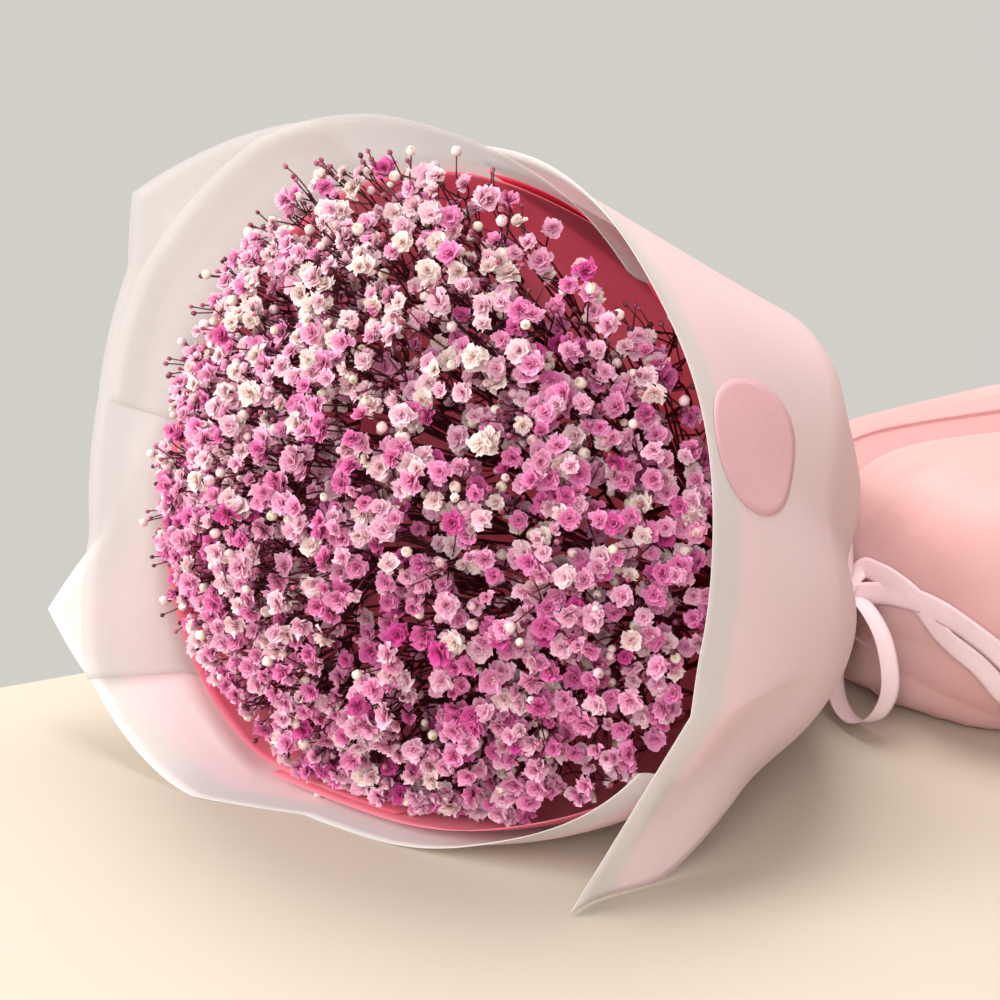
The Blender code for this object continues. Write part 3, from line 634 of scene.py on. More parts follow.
def petalWhorl(count, length, rise, root, draw, lift):
    # a petal is a fan of two quads: narrow at its root, and three places on a scalloped tip,
    # whose middle reaches 1 and whose corners reach 0.88 of the length, less random notches
    turn = np.arange(count) + draw.uniform(-petal["turn"], petal["turn"], count)
    turn = (turn * 2 * math.pi / count)[:, None, None]
    angle = np.radians(rise + lift + draw.uniform(-petal["rise"], petal["rise"], count))
    angle = angle[:, None, None]
    size = length * draw.uniform(*petal["size"], count)[:, None, None]
    u = np.array([-1.0, 0.0, 1.0])
    along = size * np.array([[petal["root"]] * 3, [petal["corner"], 1.0, petal["corner"]]])
    along[:, 1] = along[:, 1] + size[:, 0] * draw.uniform(*petal["notch"], (count, 3))
    narrow, wide = petal["root"], petal["width"][0] / count + petal["width"][1]
    width = size * np.array([narrow, wide])[:, None] * u
    ruffle = np.zeros((count, 2, 3))
    ruffle[:, 1] = draw.uniform(-petal["ruffle"], petal["ruffle"], (count, 3))
    ruffle[:, 1] += petal["cup"] * np.abs(u)
    out = along * np.cos(angle)
    up = root + along * np.sin(angle) + ruffle * length
    x = out * np.cos(turn) - width * np.sin(turn)
    y = out * np.sin(turn) + width * np.cos(turn)
    points = np.stack([x, y, up], -1).reshape(-1, 3)
    faces = (gridFaces(2, 3)[None] + 6 * np.arange(count)[:, None, None]).reshape(-1, 4)
    shade = np.stack([np.zeros((count, 3)), draw.uniform(*petal["shade"], (count, 3))], 1)
    return points, faces[:, ::-1], shade.reshape(-1)


def bloomKind(draw, lift):
    points, faces, shade = joinMeshes([petalWhorl(*whorl, draw, lift)
                                       for whorl in bloomSettings["whorls"]])
    return points, np.array(faces), shade


def turnedTo(directions, spins):
    # rotations whose third column is the direction
    first, second = sideAxes(directions)
    c, s = np.cos(spins)[:, None], np.sin(spins)[:, None]
    return np.stack([c * first + s * second, c * second - s * first, directions], -1)


def placeCopies(kind, rotations, sizes, centres):
    # the same small mesh turned, scaled and moved to many places
    points, faces, shade = kind
    placed = np.einsum("mij,vj->mvi", rotations, points) * sizes[:, None, None]
    placed = placed + centres[:, None]
    moved = faces[None] + len(points) * np.arange(len(centres))[:, None, None]
    return (placed.reshape(-1, 3), moved.reshape(-1, faces.shape[1]).tolist(),
            np.tile(shade, len(centres)))


def hollowPart(flat):
    # 0 on the clumps and 1 in the hollows between them: two products of crossing sine waves
    a, b = flat[:, 0], flat[:, 1]
    wave = np.sin(12 * a + 1.7 * np.sin(5 * b)) * np.sin(11 * b + 1.5 * np.sin(6 * a + 1.3))
    fine = np.sin(23 * a + 4 * b) * np.sin(21 * b - 3 * a + 2)
    return smoothStep((wave + 0.6 * fine - 0.3) / 0.6)


def thinning(flat):
    # share of blooms kept: fewer in the gap along the upper right of the rim and in the hollows
    angle = np.degrees(np.arctan2(flat[:, 1], flat[:, 0]))
    reach, soft, middle, spread = bloomSettings["thinAt"]
    gap = smoothStep((lengths(flat) - reach) / soft) * bump(angle, middle, spread)
    inGap, inHollows = bloomSettings["thinShare"]
    return (1 - inGap * gap) * (1 - inHollows * hollowPart(flat))


def scatterBlooms(count, spread, heights):
    # sunflower spiral, radius sqrt(k / count) turning by the golden angle, then shaken
    k = np.arange(count) + 0.5
    flat = polar(k * math.pi * (3 - math.sqrt(5)), np.sqrt(k / count) * bloomSettings["edgeReach"])
    flat = flat + rng.normal(0, spread, flat.shape)
    flat = flat / np.maximum(lengths(flat)[:, None] / bloomSettings["edgeReach"], 1)
    flat = flat[rng.uniform(0, 1, count) < thinning(flat)]
    return flat, rng.uniform(*heights, len(flat)) - bloomSettings["hollow"] * hollowPart(flat)


def tintOf(flat):
    # tint: slow waves of dye strength over the head plus each bloom's own, and paler toward the top
    # middle of the head
    slow = 0.5 * np.sin(5.1 * flat[:, 0] + 2.3) * np.cos(4.3 * flat[:, 1] - 1.1)
    pale = 0.34 * np.exp(-(((flat[:, 0] + 0.05) / 0.5) ** 2 + ((flat[:, 1] - 0.55) / 0.45) ** 2))
    return np.clip(0.46 + 0.15 * slow - pale + rng.normal(0, 0.25, len(flat)), 0, 1)


print("stage: blooms")
outerFlat, outerLift = scatterBlooms(*bloomSettings["outer"])
deepFlat, deepLift = scatterBlooms(*bloomSettings["deep"])
# the dome is stretched toward its bulge, so more blooms fill that side
sideCount = bloomSettings["side"]
sideTurn = np.radians(rng.uniform(*bloomSettings["sideAngles"], sideCount))
sideFlat = polar(sideTurn, np.sqrt(rng.uniform(*bloomSettings["sideReach"], sideCount)))
sideLift = rng.uniform(*bloomSettings["outer"][2], sideCount) - bloomSettings["sideDrop"]
bloomFlat = np.concatenate([outerFlat, deepFlat * bloomSettings["deepReach"], sideFlat])
bloomLift = np.concatenate([outerLift, deepLift, sideLift])
bloomPlaces = keepInside(domePoint(bloomFlat, bloomLift), bloomSettings["wrapGap"])
bloomNormals = domeNormals(bloomFlat)
bloomCount = len(bloomPlaces)
bloomTilts = bloomSettings["tilt"] * rng.normal(0, 1, (bloomCount, 3)) / math.sqrt(3)
bloomWays = unit(bloomNormals + bloomTilts)
bloomSizes = rng.uniform(*bloomSettings["radius"], bloomCount)
bloomKinds = rng.integers(0, bloomSettings["kinds"], bloomCount)
bloomSpins = rng.uniform(0, 2 * math.pi, bloomCount)
bloomTints = tintOf(bloomFlat)
halfShare, halfSize, halfLift = bloomSettings["halfOpen"]
isHalfOpen = rng.uniform(0, 1, bloomCount) < halfShare
bloomSizes = np.where(isHalfOpen, bloomSizes * halfSize, bloomSizes)

# 19 stems through the tie, each with the blooms nearest to its place
stems = {
    "spacing": 4.2 * mm,
    "radius": 1.8 * mm,
    "taper": 0.62,
    "knuckles": (0.16, 34 * mm, 18),    # height, distance apart and sharpness
    "tailLength": 104 * mm,
    "tailStagger": 7 * mm,
    "tailSpread": 1.25,
    "share": 2.3,
    "forkPlace": 0.52,
    "pedicel": 0.34 * mm,
    "twigGrowth": 0.085 * mm,
    "twigSides": 3,
    "nodeDepth": (8, 4.6, 0.62),        # mm under the blooms: 8 + 4.6 * blooms^0.62
    "nodeNoise": 1.6,                   # mm
    "floorClear": 8 * mm,
    "halves": (0.38, 0.62),             # least and most of the blooms on one side of a fork
    "calyx": (0.25, 0.8),               # how far under a bloom its twig ends, size of the cup
    "sag": (0.35, 0.3),                 # of twigs and of the buds' pedicels
    "curve": (0.55, 0.45, 0.05),        # middle of a twig's curve, its share and the noise
    "budShare": (9, 0.75),              # most blooms under a fork with a bud, and how often
    "budReach": (-6, 5),                # mm past the blooms
    "budTilt": 0.55,
    "budGap": 2.5 * mm,
    "sides": 8,
    "rings": 46,
}


def hexagonPlaces():
    places = [(col / 2, row * math.sqrt(3) / 2) for row in range(-2, 3) for col in range(-4, 5)
              if (row + col) % 2 == 0 and abs(row) + abs(col) <= 4]
    places.sort(key=lambda place: (round(math.hypot(*place), 3), math.atan2(place[1], place[0])))
    return np.array(places)


stemPlaces = hexagonPlaces()


def nearestStem(flat):
    return lengths(flat[:, None] - (stemPlaces / stems["share"])[None]).argmin(1)


def bundlePoint(place, s, spacing=stems["spacing"]):
    centre, up = spine(s)
    return centre + spacing * (place[0] * sideways + place[1] * up)


def tubes(paths, radii, sides):
    # tubes (count, rings, 3): each ring is a circle across the tube's overall direction
    count, rings, _ = paths.shape
    first, second = sideAxes(unit(paths[:, -1] - paths[:, 0]))
    turn = circle(sides)[None, :, None]
    ring = np.cos(turn) * first[:, None] + np.sin(turn) * second[:, None]
    points = paths[:, :, None] + radii[:, :, None, None] * ring[:, None]
    start = rings * sides * np.arange(count)[:, None]
    faces = (gridFaces(rings, sides, closed=True)[None] + start[:, None]).reshape(-1, 4).tolist()
    ends = np.concatenate([start + np.arange(sides)[::-1],
                           start + (rings - 1) * sides + np.arange(sides)])
    return points.reshape(-1, 3), faces + ends.tolist()


def growTwigs(members, crown, draw):
    # halves a spray's blooms again and again; each half's node lies under its blooms,
    # deeper for a larger half, and a twig joins it to the node before
    twigs, buds = [], []
    todo = [(members, crown)]
    base, growth, power = stems["nodeDepth"]
    while todo:
        group, start = todo.pop()
        middle = bloomPlaces[group].mean(0)
        normal = unit(bloomNormals[group].mean(0))
        if len(group) == 1:
            k = group[0]
            end = bloomPlaces[k] - bloomWays[k] * bloomSizes[k] * stems["calyx"][0]
            twigs.append((start, end, bloomWays[k], 1))
            continue
        depth = (base + growth * len(group) ** power) * mm
        node = middle - depth * normal + draw.normal(0, stems["nodeNoise"], 3) * mm
        node[2] = max(node[2], stems["floorClear"])
        twigs.append((start, node, normal, len(group)))
        if len(group) <= stems["budShare"][0] and draw.uniform() < stems["budShare"][1]:
            side = unit(normal + draw.normal(0, stems["budTilt"], 3))
            buds.append((node, side, depth + draw.uniform(*stems["budReach"]) * mm))
        spread = bloomPlaces[group] - middle
        _, _, axes = np.linalg.svd(spread, full_matrices=False)
        order = np.argsort(spread @ axes[0])
        cut = int(round(len(group) * draw.uniform(*stems["halves"])))
        cut = min(max(cut, 1), len(group) - 1)
        todo += [(group[order[:cut]], node), (group[order[cut:]], node)]
    return twigs, buds


def curvedPaths(starts, ends, ways, sag, draw, rings):
    # quadratic curve that arrives along a direction; its control point is
    # share * middle + (1 - share) * (end - way * length * sag), with a little noise
    middle, share, noise = stems["curve"]
    length = lengths(ends - starts)[:, None]
    control = mix(starts, ends, middle) * share + (ends - ways * length * sag) * (1 - share)
    control = control + draw.normal(0, noise, starts.shape) * length
    t = np.linspace(0, 1, rings)[None, :, None]
    return (starts[:, None] * (1 - t) ** 2 + 2 * control[:, None] * t * (1 - t)
            + ends[:, None] * t ** 2)


def calyxKind():
    # small cup under a bloom or round a bud: five-sided, widening upward
    ring = np.pad(polar(circle(5)), ((0, 0), (0, 1)))
    points = np.concatenate([ring * radius + [0, 0, height]
                             for radius, height in ((0.12, -0.42), (0.4, -0.12), (0.34, 0.1))])
    return points, gridFaces(3, 5, closed=True), np.zeros(15)


def budKind(sides=7, rings=4):
    # closed egg: radius sin(phi), height -cos(phi), a little pointed at the top
    phi = np.linspace(0.12, math.pi - 0.12, rings + 1)[:, None]
    turn = circle(sides)[None]
    height = -np.cos(phi) * (1 + 0.15 * (phi > 2))
    points = np.stack([np.sin(phi) * np.cos(turn), np.sin(phi) * np.sin(turn),
                       height + 0 * turn], -1).reshape(-1, 3)
    top = len(points)
    points = np.concatenate([points, [[0, 0, -1.0], [0, 0, 1.1]]])
    faces = gridFaces(rings + 1, sides, closed=True).tolist()
    # a pole's triangles repeat their last corner, so that every row has four
    for k in range(sides):
        after = (k + 1) % sides
        faces.append([k, top, after, after])
        faces.append([rings * sides + after, top + 1, rings * sides + k, rings * sides + k])
    along = np.concatenate([np.repeat(np.linspace(0, 1, rings + 1), sides), [0, 1]])
    return points, np.array(faces), along


def makePetals():
    # petals of dyed double gypsophila: thin, matt and uneven, pale at their edges, deeper inside
    material = newMaterial("dyed_gypsophila_petals")
    tint = attribute(material, "tint")
    edge = ramp(material, tint, [(0.0, "#fbf5f1"), (0.28, "#fbe2ec"), (0.6, "#f8b0da"),
                                 (1.0, "#ee62b6")])
    heart = ramp(material, tint, [(0.0, "#eccabf"), (0.28, "#e58fba"), (0.6, "#d23d96"),
                                  (1.0, "#ae1478")])
    place = mathOn(material, "POWER", attribute(material, "along"), 1.2)
    more = {"IOR": 1.42, "Specular IOR Level": 0.25, "Sheen Weight": 0.15}
    return setSurface(material, mixColours(material, place, heart, edge), 0.6, more, glow=0.3)


def makeTwigBark():
    # dried, dyed gypsophila stem: dark maroon, faintly ribbed, half matt
    material = newMaterial("dyed_wiry_stem")
    stops = [(0.3, "#3c0f1b"), (0.55, "#5e1a2b"), (0.75, "#5a3326")]
    return setSurface(material, ramp(material, noiseOver(material, 60, 3), stops), 0.55,
                      {"IOR": 1.45})


def makeBudSkin():
    # closed buds: cream to green where undyed, pink or dark maroon where the dye went in
    material = newMaterial("gypsophila_buds")
    tint, along = attribute(material, "tint"), attribute(material, "along")
    skin = ramp(material, tint, [(0.0, "#efe6d2"), (0.45, "#efc9d2"), (0.6, "#b85a7c"),
                                 (1.0, "#551a2c")])
    foot = ramp(material, tint, [(0.0, "#a9a06c"), (0.45, "#b9808a"), (0.6, "#6a2238"),
                                 (1.0, "#360e18")])
    # foot colour in the calyx and again where the closed petals meet at the top
    middle = ramp(material, along, [(0.0, "#000000"), (0.3, "#ffffff"), (0.8, "#ffffff"),
                                    (0.97, "#404040")])
    return setSurface(material, mixColours(material, middle, foot, skin), 0.5, {"IOR": 1.42})


petalsMaterial = makePetals()
barkMaterial = makeTwigBark()
budMaterial = makeBudSkin()
kindDraw = np.random.default_rng(5)
openKinds, halfOpenKinds = ([bloomKind(kindDraw, lift) for _ in range(bloomSettings["kinds"])]
                            for lift in (0, halfLift))
calyx = calyxKind()
bud = budKind()


def makeSprayBlooms(name, node, mine):
    parts = []
    for kinds, chosen in ((openKinds, ~isHalfOpen[mine]), (halfOpenKinds, isHalfOpen[mine])):
        for number, kind in enumerate(kinds):
            group = mine[chosen & (bloomKinds[mine] == number)]
            if len(group) == 0:
                continue
            rotations = turnedTo(bloomWays[group], bloomSpins[group])
            points, faces, along = placeCopies(kind, rotations, bloomSizes[group],
                                               bloomPlaces[group])
            tint = np.repeat(bloomTints[group], len(kind[0]))
            parts.append((points, faces, np.stack([tint, along])))
    points, faces, (tint, along) = joinMeshes(parts)
    piece = meshObject(name, points, faces, petalsMaterial,
                       {"tint": tint, "along": along})
    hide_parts(node)


def makeSprayStems(name, node, index, mine, draw):
    place = stemPlaces[index]
    tie = bundlePoint(place, axis["tieHalf"])
    tail = -stems["tailLength"] + draw.uniform(-1, 1) * stems["tailStagger"]
    fork = mix(tie, bloomPlaces[mine].mean(0), stems["forkPlace"])
    twigs, buds = growTwigs(mine, fork, draw)
    starts, ends, ways, sizes = (np.array(part, float) for part in zip(*twigs))
    budStarts, budWays, budLengths = (np.array(part) for part in zip(*buds))
    budEnds = keepInside(budStarts + budWays * budLengths[:, None], stems["budGap"])
    paths = curvedPaths(starts, ends, ways, stems["sag"][0], draw, 4)
    radii = stems["pedicel"] + stems["twigGrowth"] * (sizes - 1) ** 0.6
    radii = radii[:, None] * np.array([1.15, 1, 1, 1])
    budPaths = curvedPaths(budStarts, budEnds, budWays, stems["sag"][1], draw, 4)
    budRadii = np.full((len(buds), 4), stems["pedicel"] * 0.85)
    # the main stem, from its cut end through the tie to its fork
    knots = np.array([bundlePoint(place, tail, stems["spacing"] * stems["tailSpread"]),
                      bundlePoint(place, -axis["tieHalf"]), tie, fork])
    distances = np.concatenate([[0], np.cumsum(lengths(np.diff(knots, axis=0)))])
    t = np.linspace(0, distances[-1], stems["rings"])
    path = np.stack([np.interp(t, distances, knots[:, k]) for k in range(3)], -1)
    height, apart, sharpness = stems["knuckles"]
    thick = stems["radius"] * mix(1, stems["taper"], smoothStep(t / distances[-1]))
    thick = thick * (1 + height * np.exp(-(((t / apart) % 1 - 0.5) * sharpness) ** 2))
    points, faces, _ = joinMeshes([
        tubes(np.concatenate([paths, budPaths]), np.concatenate([radii, budRadii]),
              stems["twigSides"]),
        tubes(path[None], thick[None], stems["sides"]),
        placeCopies(calyx, turnedTo(bloomWays[mine], bloomSpins[mine]),
                    bloomSizes[mine] * stems["calyx"][1], bloomPlaces[mine])[:2]])
    piece = meshObject(name, points, faces, barkMaterial)
    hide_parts(node)
    return budEnds, budWays, fork


owners = nearestStem(bloomFlat)
sprayBuds = []
for index in range(len(stemPlaces)):
    node = f"spray_{index + 1:02d}"
    mine = np.nonzero(owners == index)[0]
    makeSprayBlooms(f"blooms_{index + 1:02d}", node, mine)
    sprayBuds.append(makeSprayStems(f"twigs_{index + 1:02d}", node, index, mine,
                                    np.random.default_rng(100 + index)))

# Sprigs: thin forked stems with buds and no blooms, that stand a little clear of the head
sprigs = {
    "gap": 34,                  # in the gap at the upper right
    "edge": 30,                 # round the left and the top
    "over": 90,                 # all over
    "depth": 9 * mm,
    "pedicels": (2, 5),
    "pedicelLength": (7, 16),   # mm
    "pedicelTilt": 0.5,
    "stalkSag": 0.25,
    "stem": 0.42 * mm,
    "pedicel": 0.3 * mm,
}


def sprigPlaces(draw):
    # flat places and heights: in the gap, along the edge from the top to the left, and all over
    gap, edge, over = sprigs["gap"], sprigs["edge"], sprigs["over"]
    turn = np.radians(np.concatenate([draw.normal(50, 20, gap), draw.uniform(78, 215, edge),
                                      draw.uniform(0, 360, over)]))
    reach = np.concatenate([draw.uniform(0.62, 0.98, gap), draw.uniform(0.93, 1.0, edge),
                            np.sqrt(draw.uniform(0.0, 0.95, over))])
    lift = np.concatenate([draw.uniform(-16, 0, gap), draw.uniform(-2, 6, edge),
                           draw.uniform(-5, 4, over)]) * mm
    return polar(turn, reach), lift


def growSprigs(draw):
    # a stem from the nearest spray's fork to a knuckle under the surface, then short pedicels
    flat, lift = sprigPlaces(draw)
    knuckles, normals = domePoint(flat, lift - sprigs["depth"]), domeNormals(flat)
    knots = sprayForks[nearestStem(flat)]
    ways = unit(knuckles - knots) + 0.5 * normals + 0.2 * draw.normal(0, 1, normals.shape)
    ways = unit(ways)
    stalks = curvedPaths(knots, knuckles, ways, sprigs["stalkSag"], draw, 6)
    stalkRadii = sprigs["stem"] * np.linspace(1.5, 0.8, 6)[None] * np.ones((len(flat), 1))
    starts, tips, tipWays = [], [], []
    for knuckle, way in zip(knuckles, ways):
        for _ in range(draw.integers(*sprigs["pedicels"])):
            out = unit(way + sprigs["pedicelTilt"] * draw.normal(0, 1, 3))
            starts.append(knuckle)
            tips.append(knuckle + out * draw.uniform(*sprigs["pedicelLength"]) * mm)
            tipWays.append(out)
    tips, tipWays = keepInside(np.array(tips), stems["budGap"]), np.array(tipWays)
    pedicels = curvedPaths(np.array(starts), tips, tipWays, stems["sag"][1], draw, 4)
    points, faces, _ = joinMeshes([
        tubes(stalks, stalkRadii, 4),
        tubes(pedicels, np.full((len(tips), 4), sprigs["pedicel"]), stems["twigSides"])])
    meshObject("sprigs", points, faces, barkMaterial)
    return tips, tipWays


# share of pale buds on the sprays and on the sprigs, the tints and sizes of pale and dark ones
buds = {"pale": (0.42, 0.16), "paleTint": (0, 0.5), "darkTint": (0.58, 1), "paleSize": (1.3, 2.1),
        "darkSize": (0.75, 1.1)}
sprayForks = np.array([fork for _, _, fork in sprayBuds])
sprigTips, sprigWays = growSprigs(np.random.default_rng(61))
budEnds = np.concatenate([ends for ends, _, _ in sprayBuds] + [sprigTips])
budWays = np.concatenate([ways for _, ways, _ in sprayBuds] + [sprigWays])
budCount = len(budEnds)
budPale = np.where(np.arange(budCount) < budCount - len(sprigTips), *buds["pale"])
budTints = np.where(rng.uniform(0, 1, budCount) < budPale, rng.uniform(*buds["paleTint"], budCount),
                    rng.uniform(*buds["darkTint"], budCount))
budSizes = np.where(budTints < 0.5, rng.uniform(*buds["paleSize"], budCount),
                    rng.uniform(*buds["darkSize"], budCount)) * mm
budPoints, budFaces, budAlong = placeCopies(
    bud, turnedTo(budWays, rng.uniform(0, 6, budCount)), budSizes, budEnds)
budFaces = [face[:3] if face[2] == face[3] else face for face in budFaces]
meshObject("buds", budPoints, budFaces, budMaterial,
           {"tint": np.repeat(budTints, len(bud[0])), "along": budAlong})
print("stage: blooms", bloomCount, "buds", budCount)


# Satin ribbon

ribbon = {
    "width": 9 * mm,
    "thickness": 0.35 * mm,
    "clear": 0.6 * mm,
    "lift": 1.3 * mm,
    "knotAngle": 30,
    "knotRise": 4.4 * mm,
    "crown": 0.35 * mm,
    "acrossPoints": 7,
    "ringPoints": 97,
    "pathPoints": 90,
    "tailPoints": 60,
    # places of each loop across, along and above the middle of the tie, in millimetres
    "loops": (
        ((32, 0, 12), (47, 0, 3), (56, 0, -13), (54, 1, -26), (45, 2, -33), (34, 1, -32.5),
         (25.5, 0, -25), (22, 0, -10)),
        ((15, 0, 29), (6, 0, 42), (-6, 0, 43), (-11, 0, 33), (-2, 0, 25)),
    ),
    # angle and millimetres from the tie of each end, lying on the skirt
    "tails": (
        ((46, -15), (30, -18), (8, -23), (-10, -36), (-20, -60), (-26, -88)),
        ((26, -15), (20, -20), (11, -27), (1, -36), (-8, -58), (-15, -84), (-19, -108)),
    ),
}


def smoothPath(knots):
    # Catmull-Rom curve through the knots, even in its parameter
    knots = np.asarray(knots, float)
    padded = np.concatenate([[2 * knots[0] - knots[1]], knots, [2 * knots[-1] - knots[-2]]])
    t = np.linspace(0, len(knots) - 1.0001, ribbon["pathPoints"])
    k = t.astype(int)
    u = (t - k)[:, None]
    a, b, c, d = (padded[k + step] for step in range(4))
    return 0.5 * (2 * b + (c - a) * u + (2 * a - 5 * b + 4 * c - d) * u ** 2
                  + (3 * b - a - 3 * c + d) * u ** 3)


def strip(path, sides):
    # flat strip along a path; it is crowned by crown * (1 - u^2) across its width
    sides = unit(sides)
    normals = unit(np.cross(unit(np.gradient(path, axis=0)), sides))
    u = np.linspace(-1, 1, ribbon["acrossPoints"])[None, :, None]
    points = path[:, None] + sides[:, None] * u * ribbon["width"] / 2
    points = points + normals[:, None] * (1 - u ** 2) * ribbon["crown"]
    along = np.cumsum(np.r_[0, lengths(np.diff(path, axis=0))])
    values = np.stack(np.broadcast_arrays(along[:, None], u[..., 0]), -1)
    return (points.reshape(-1, 3), gridFaces(len(path), ribbon["acrossPoints"]).tolist(),
            values.reshape(-1, 2).T)


def ringStrip(path):
    # a strip whose width runs along the tie
    return strip(path, np.repeat(tieWay[None], len(path), 0))


def tailStrip(tail):
    # a strip from the knot that lies on the skirt
    theta, distance = np.array(tail, float).T
    steps = np.linspace(0, len(tail) - 1, ribbon["tailPoints"])
    theta = np.interp(steps, np.arange(len(tail)), theta)
    distance = np.interp(steps, np.arange(len(tail)), distance) * mm
    places, normals = wrapPoint(theta, distance, sheets["film_right"][0], ribbon["lift"])
    path = smoothPath(np.concatenate([[knotPlace], places[::6], places[-1:]]))
    wanted, given = (np.linspace(0, 1, count) for count in (len(path), len(places)))
    normals = np.stack([np.interp(wanted, given, normals[:, k]) for k in range(3)], -1)
    return strip(path, np.cross(normals, unit(np.gradient(path, axis=0))))


def makeSatin():
    # polyester satin, woven with long floats: smooth, bright along the floats, fine cross ribs;
    # real picks are 0.15 mm apart, drawn 0.6 mm apart so that they show
    material = newMaterial("woven_polyester_satin")
    picks = mathOn(material, "MULTIPLY", attribute(material, "length"), 2 * math.pi / (0.6 * mm))
    weave = relief(material, mathOn(material, "SINE", picks), 0.15, 0.1 * mm)
    selvedge = mathOn(material, "ABSOLUTE", attribute(material, "side"))
    colour = ramp(material, selvedge, [(0.0, "#f6dde2"), (0.86, "#f4d7de"), (0.93, "#e9c3cc")])
    return setSurface(material, colour, 0.33, {"IOR": 1.5, "Sheen Weight": 0.3,
                                               "Anisotropic": 0.4, "Normal": weave})


print("stage: ribbon")
tieCentre, tieUp = spine(0.0)
ringRadius = wrap["tieRadius"] + sheets["film_right"][0] * wrap["layerStep"][0] + ribbon["clear"]
knotPlace = tieCentre + (ringRadius + ribbon["knotRise"]) * across(ribbon["knotAngle"], tieUp)
ringTheta = np.linspace(0, 360, ribbon["ringPoints"])
strips = [ringStrip(tieCentre + ringRadius * across(ringTheta, tieUp))]
for loop in ribbon["loops"]:
    knots = [tieCentre + x * mm * sideways + a * mm * tieWay + h * mm * tieUp for x, a, h in loop]
    strips.append(ringStrip(smoothPath([knotPlace] + knots + [knotPlace])))
strips += [tailStrip(tail) for tail in ribbon["tails"]]
points, faces, (stripLength, stripSide) = joinMeshes(strips)
ribbonPiece = meshObject("satin_ribbon", points, faces, makeSatin(),
                         {"length": stripLength, "side": stripSide})
addThickness(ribbonPiece, ribbon["thickness"], 0)
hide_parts("ribbon")

# Sticker

sticker = {"place": (33, 131 * mm), "radius": 22.5 * mm, "middle": 0.02, "lift": 0.35 * mm,
           "thickness": 0.2 * mm, "rings": 10, "spokes": 64, "steps": 5}


def makeLabelPaper():
    # coated label paper, printed one plain dusty rose: even, half matt
    material = newMaterial("coated_label_paper")
    fibre = noiseOver(material, 700, 3)
    colour = ramp(material, fibre, [(0.35, "#dba8b0"), (0.65, "#deadb4")])
    grain = relief(material, fibre, 0.06, 0.2 * mm)
    return setSurface(material, colour, 0.42, {"IOR": 1.5, "Normal": grain})


def onFilm(theta, s, lift=0.0):
    return wrapPoint(theta, s, sheets["film_right"][0], lift)


print("stage: sticker")
around = circle(sticker["spokes"])[:, None]
ringPart = np.linspace(sticker["middle"], 1, sticker["rings"])[:, None, None]
labelAngle, labelPlace = sticker["place"]
middle, labelOut = onFilm(labelAngle, labelPlace)
perDegree = onFilm(labelAngle + 1, labelPlace)[0] - middle
perMetre = (onFilm(labelAngle, labelPlace + mm)[0] - middle) / mm
labelSide = unit(perDegree)
labelUp = np.cross(labelOut, labelSide)
wanted = sticker["radius"] * ringPart * (np.cos(around) * labelSide + np.sin(around) * labelUp)
# the disc's flat places are turned into angles and distances by a few Newton steps
slopes = np.linalg.inv(np.array([[perDegree @ labelSide, perMetre @ labelSide],
                                 [perDegree @ labelUp, perMetre @ labelUp]]))
labelTheta = np.full(wanted.shape[:2], float(labelAngle))
labelS = np.full(wanted.shape[:2], labelPlace)
for _ in range(sticker["steps"]):
    missing = middle + wanted - onFilm(labelTheta, labelS)[0]
    missing = np.stack([missing @ labelSide, missing @ labelUp], -1) @ slopes.T
    labelTheta = labelTheta + missing[..., 0]
    labelS = labelS + missing[..., 1]
points, _ = onFilm(labelTheta, labelS, sticker["lift"])
labelFaces = gridFaces(sticker["rings"], sticker["spokes"], closed=True).tolist()
labelFaces.append(list(range(sticker["spokes"]))[::-1])
stickerPiece = meshObject("label", points.reshape(-1, 3), [face[::-1] for face in labelFaces],
                          makeLabelPaper())
addThickness(stickerPiece, sticker["thickness"])
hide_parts("sticker")

# Twine round the stems

twine = {"turns": 6, "ringRadius": 11.2 * mm, "halfWidth": 4.6 * mm, "cord": 0.85 * mm,
         "plies": (0.82, 0.18, 9), "rings": 420, "sides": 8}


def makeJute():
    # two-ply jute twine: rough brown plies
    material = newMaterial("twisted_jute")
    hairs = noiseOver(material, 900, 4)
    colour = ramp(material, hairs, [(0.3, "#8a6a3f"), (0.7, "#bf9c66")])
    return setSurface(material, colour, 0.9, {"Normal": relief(material, hairs, 0.4, 0.3 * mm)})


print("stage: twine")
t = np.linspace(0, 1, twine["rings"])
turn = t * 360 * twine["turns"]
centre, up = spine(mix(-twine["halfWidth"], twine["halfWidth"], t))
outward = across(turn, up)
path = centre + twine["ringRadius"] * outward
third = np.cross(unit(np.gradient(path, axis=0)), outward)
around = circle(twine["sides"])[None]
# two lobes that turn along the cord: least + more * |cos(around + twist * turn)|
least, more, twist = twine["plies"]
lobes = twine["cord"] * (least + more * np.abs(np.cos(around + twist * np.radians(turn)[:, None])))
points = path[:, None] + lobes[..., None] * (
    np.cos(around)[..., None] * outward[:, None] + np.sin(around)[..., None] * third[:, None])
cordFaces = gridFaces(twine["rings"], twine["sides"], closed=True).tolist()
cordFaces += [list(range(twine["sides"]))[::-1],
              [(twine["rings"] - 1) * twine["sides"] + k for k in range(twine["sides"])]]
twinePiece = meshObject("jute_twine", points.reshape(-1, 3), cordFaces, makeJute())
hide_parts("stem_tie")

# Table, light and camera

table = {"edge": tiePoint[0] - 0.142, "front": 2.4, "half": 2.4, "thickness": 0.03}
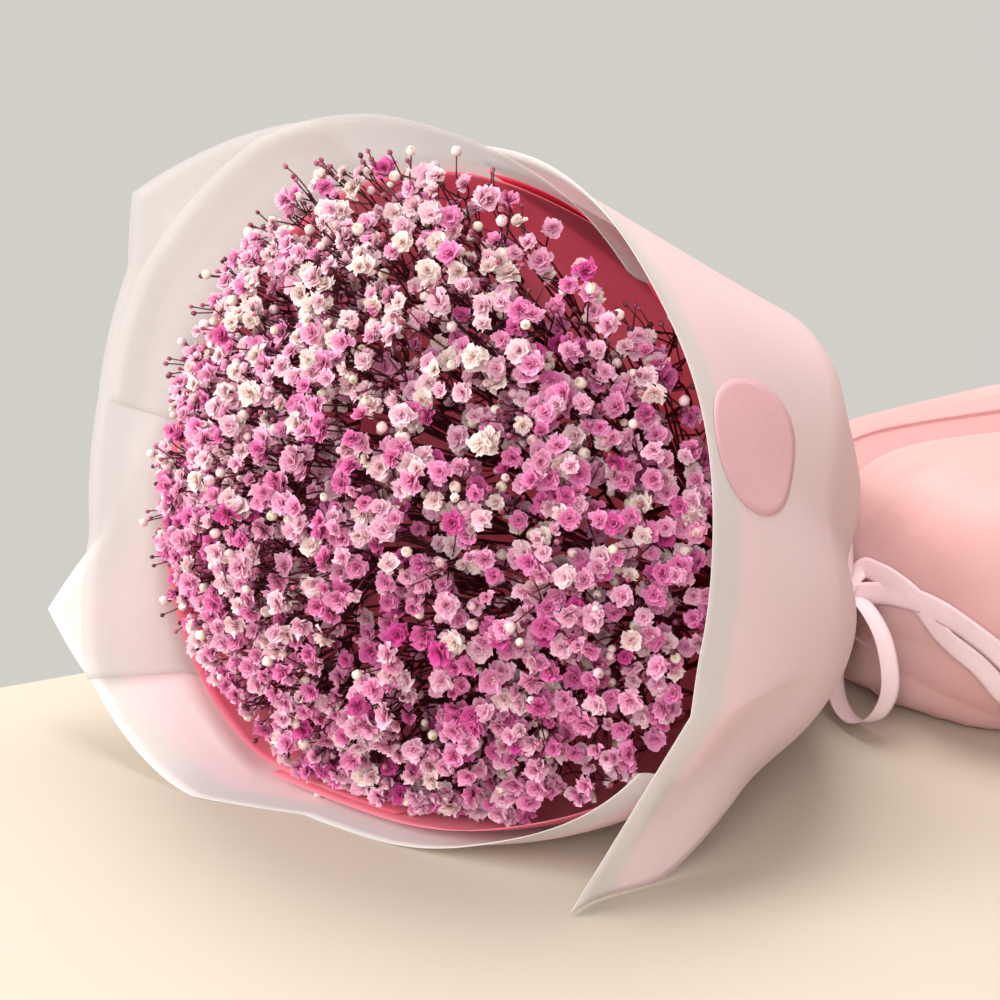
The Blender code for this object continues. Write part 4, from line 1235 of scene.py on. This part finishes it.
# place, target, size, power and colour of each lamp
lamps = {
    "window": ((-0.35, 0.15, 1.35), (0, -0.1, 0.1), 0.9, 17, "#fffaf6"),
    "front": ((1.2, -1.1, 0.9), (0, -0.1, 0.1), 1.2, 14, "#ffffff"),
    "opening": ((-0.3, -1.45, 0.7), (0, -0.1, 0.12), 0.9, 26, "#ffffff"),
}
camera = {"fromTie": (0.4614, -0.3607, 0.2348), "azimuth": 64.6, "elevation": 18, "lens": 53.2}


def makeTable():
    material = newMaterial("pale_painted_board")
    colour = ramp(material, noiseOver(material, 3, 3), [(0.3, "#bbae9f"), (0.7, "#c1b5a6")])
    setSurface(material, colour, 0.55)
    spans = ([table["edge"], table["front"]], [-table["half"], table["half"]],
             [-table["thickness"], 0.0])
    corners = np.stack(np.meshgrid(*spans, indexing="ij"), -1).reshape(-1, 3)
    faces = [[0, 1, 3, 2], [4, 6, 7, 5], [0, 4, 5, 1], [2, 3, 7, 6], [0, 2, 6, 4], [1, 5, 7, 3]]
    mesh = bpy.data.meshes.new("table")
    mesh.from_pydata(corners.tolist(), [], faces)
    mesh.materials.append(material)
    addObject("table", mesh)


def addLamp(name, place, target, size, power, colour):
    light = bpy.data.lights.new(name, "AREA")
    light.shape = "DISK"
    light.size = size
    light.energy = power
    light.color = linearColour(colour)[:3]
    lamp = addObject(name, light)
    lamp.location = place
    lamp.rotation_euler = (Vector(target) - Vector(place)).to_track_quat("-Z", "Y").to_euler()


print("stage: table, light and camera")
makeTable()
bpy.context.scene.view_settings.view_transform = "Standard"
world = bpy.data.worlds.new("room")
bpy.context.scene.world = world
world.use_nodes = True
background = world.node_tree.nodes["Background"].inputs
background["Color"].default_value = linearColour("#d2cfc9")
background["Strength"].default_value = 1.0
for lampName, lampSpec in lamps.items():
    addLamp(lampName, *lampSpec)

lens = bpy.data.cameras.new("camera")
lens.lens = camera["lens"]
lens.sensor_width = 36
lens.clip_start = 0.01
cameraObject = addObject("camera", lens)
backward = Vector(facing(camera["azimuth"], camera["elevation"]))
cameraObject.location = tiePoint + np.array(camera["fromTie"])
cameraObject.rotation_euler = backward.to_track_quat("Z", "Y").to_euler()
bpy.context.scene.camera = cameraObject

print("stage: finish")
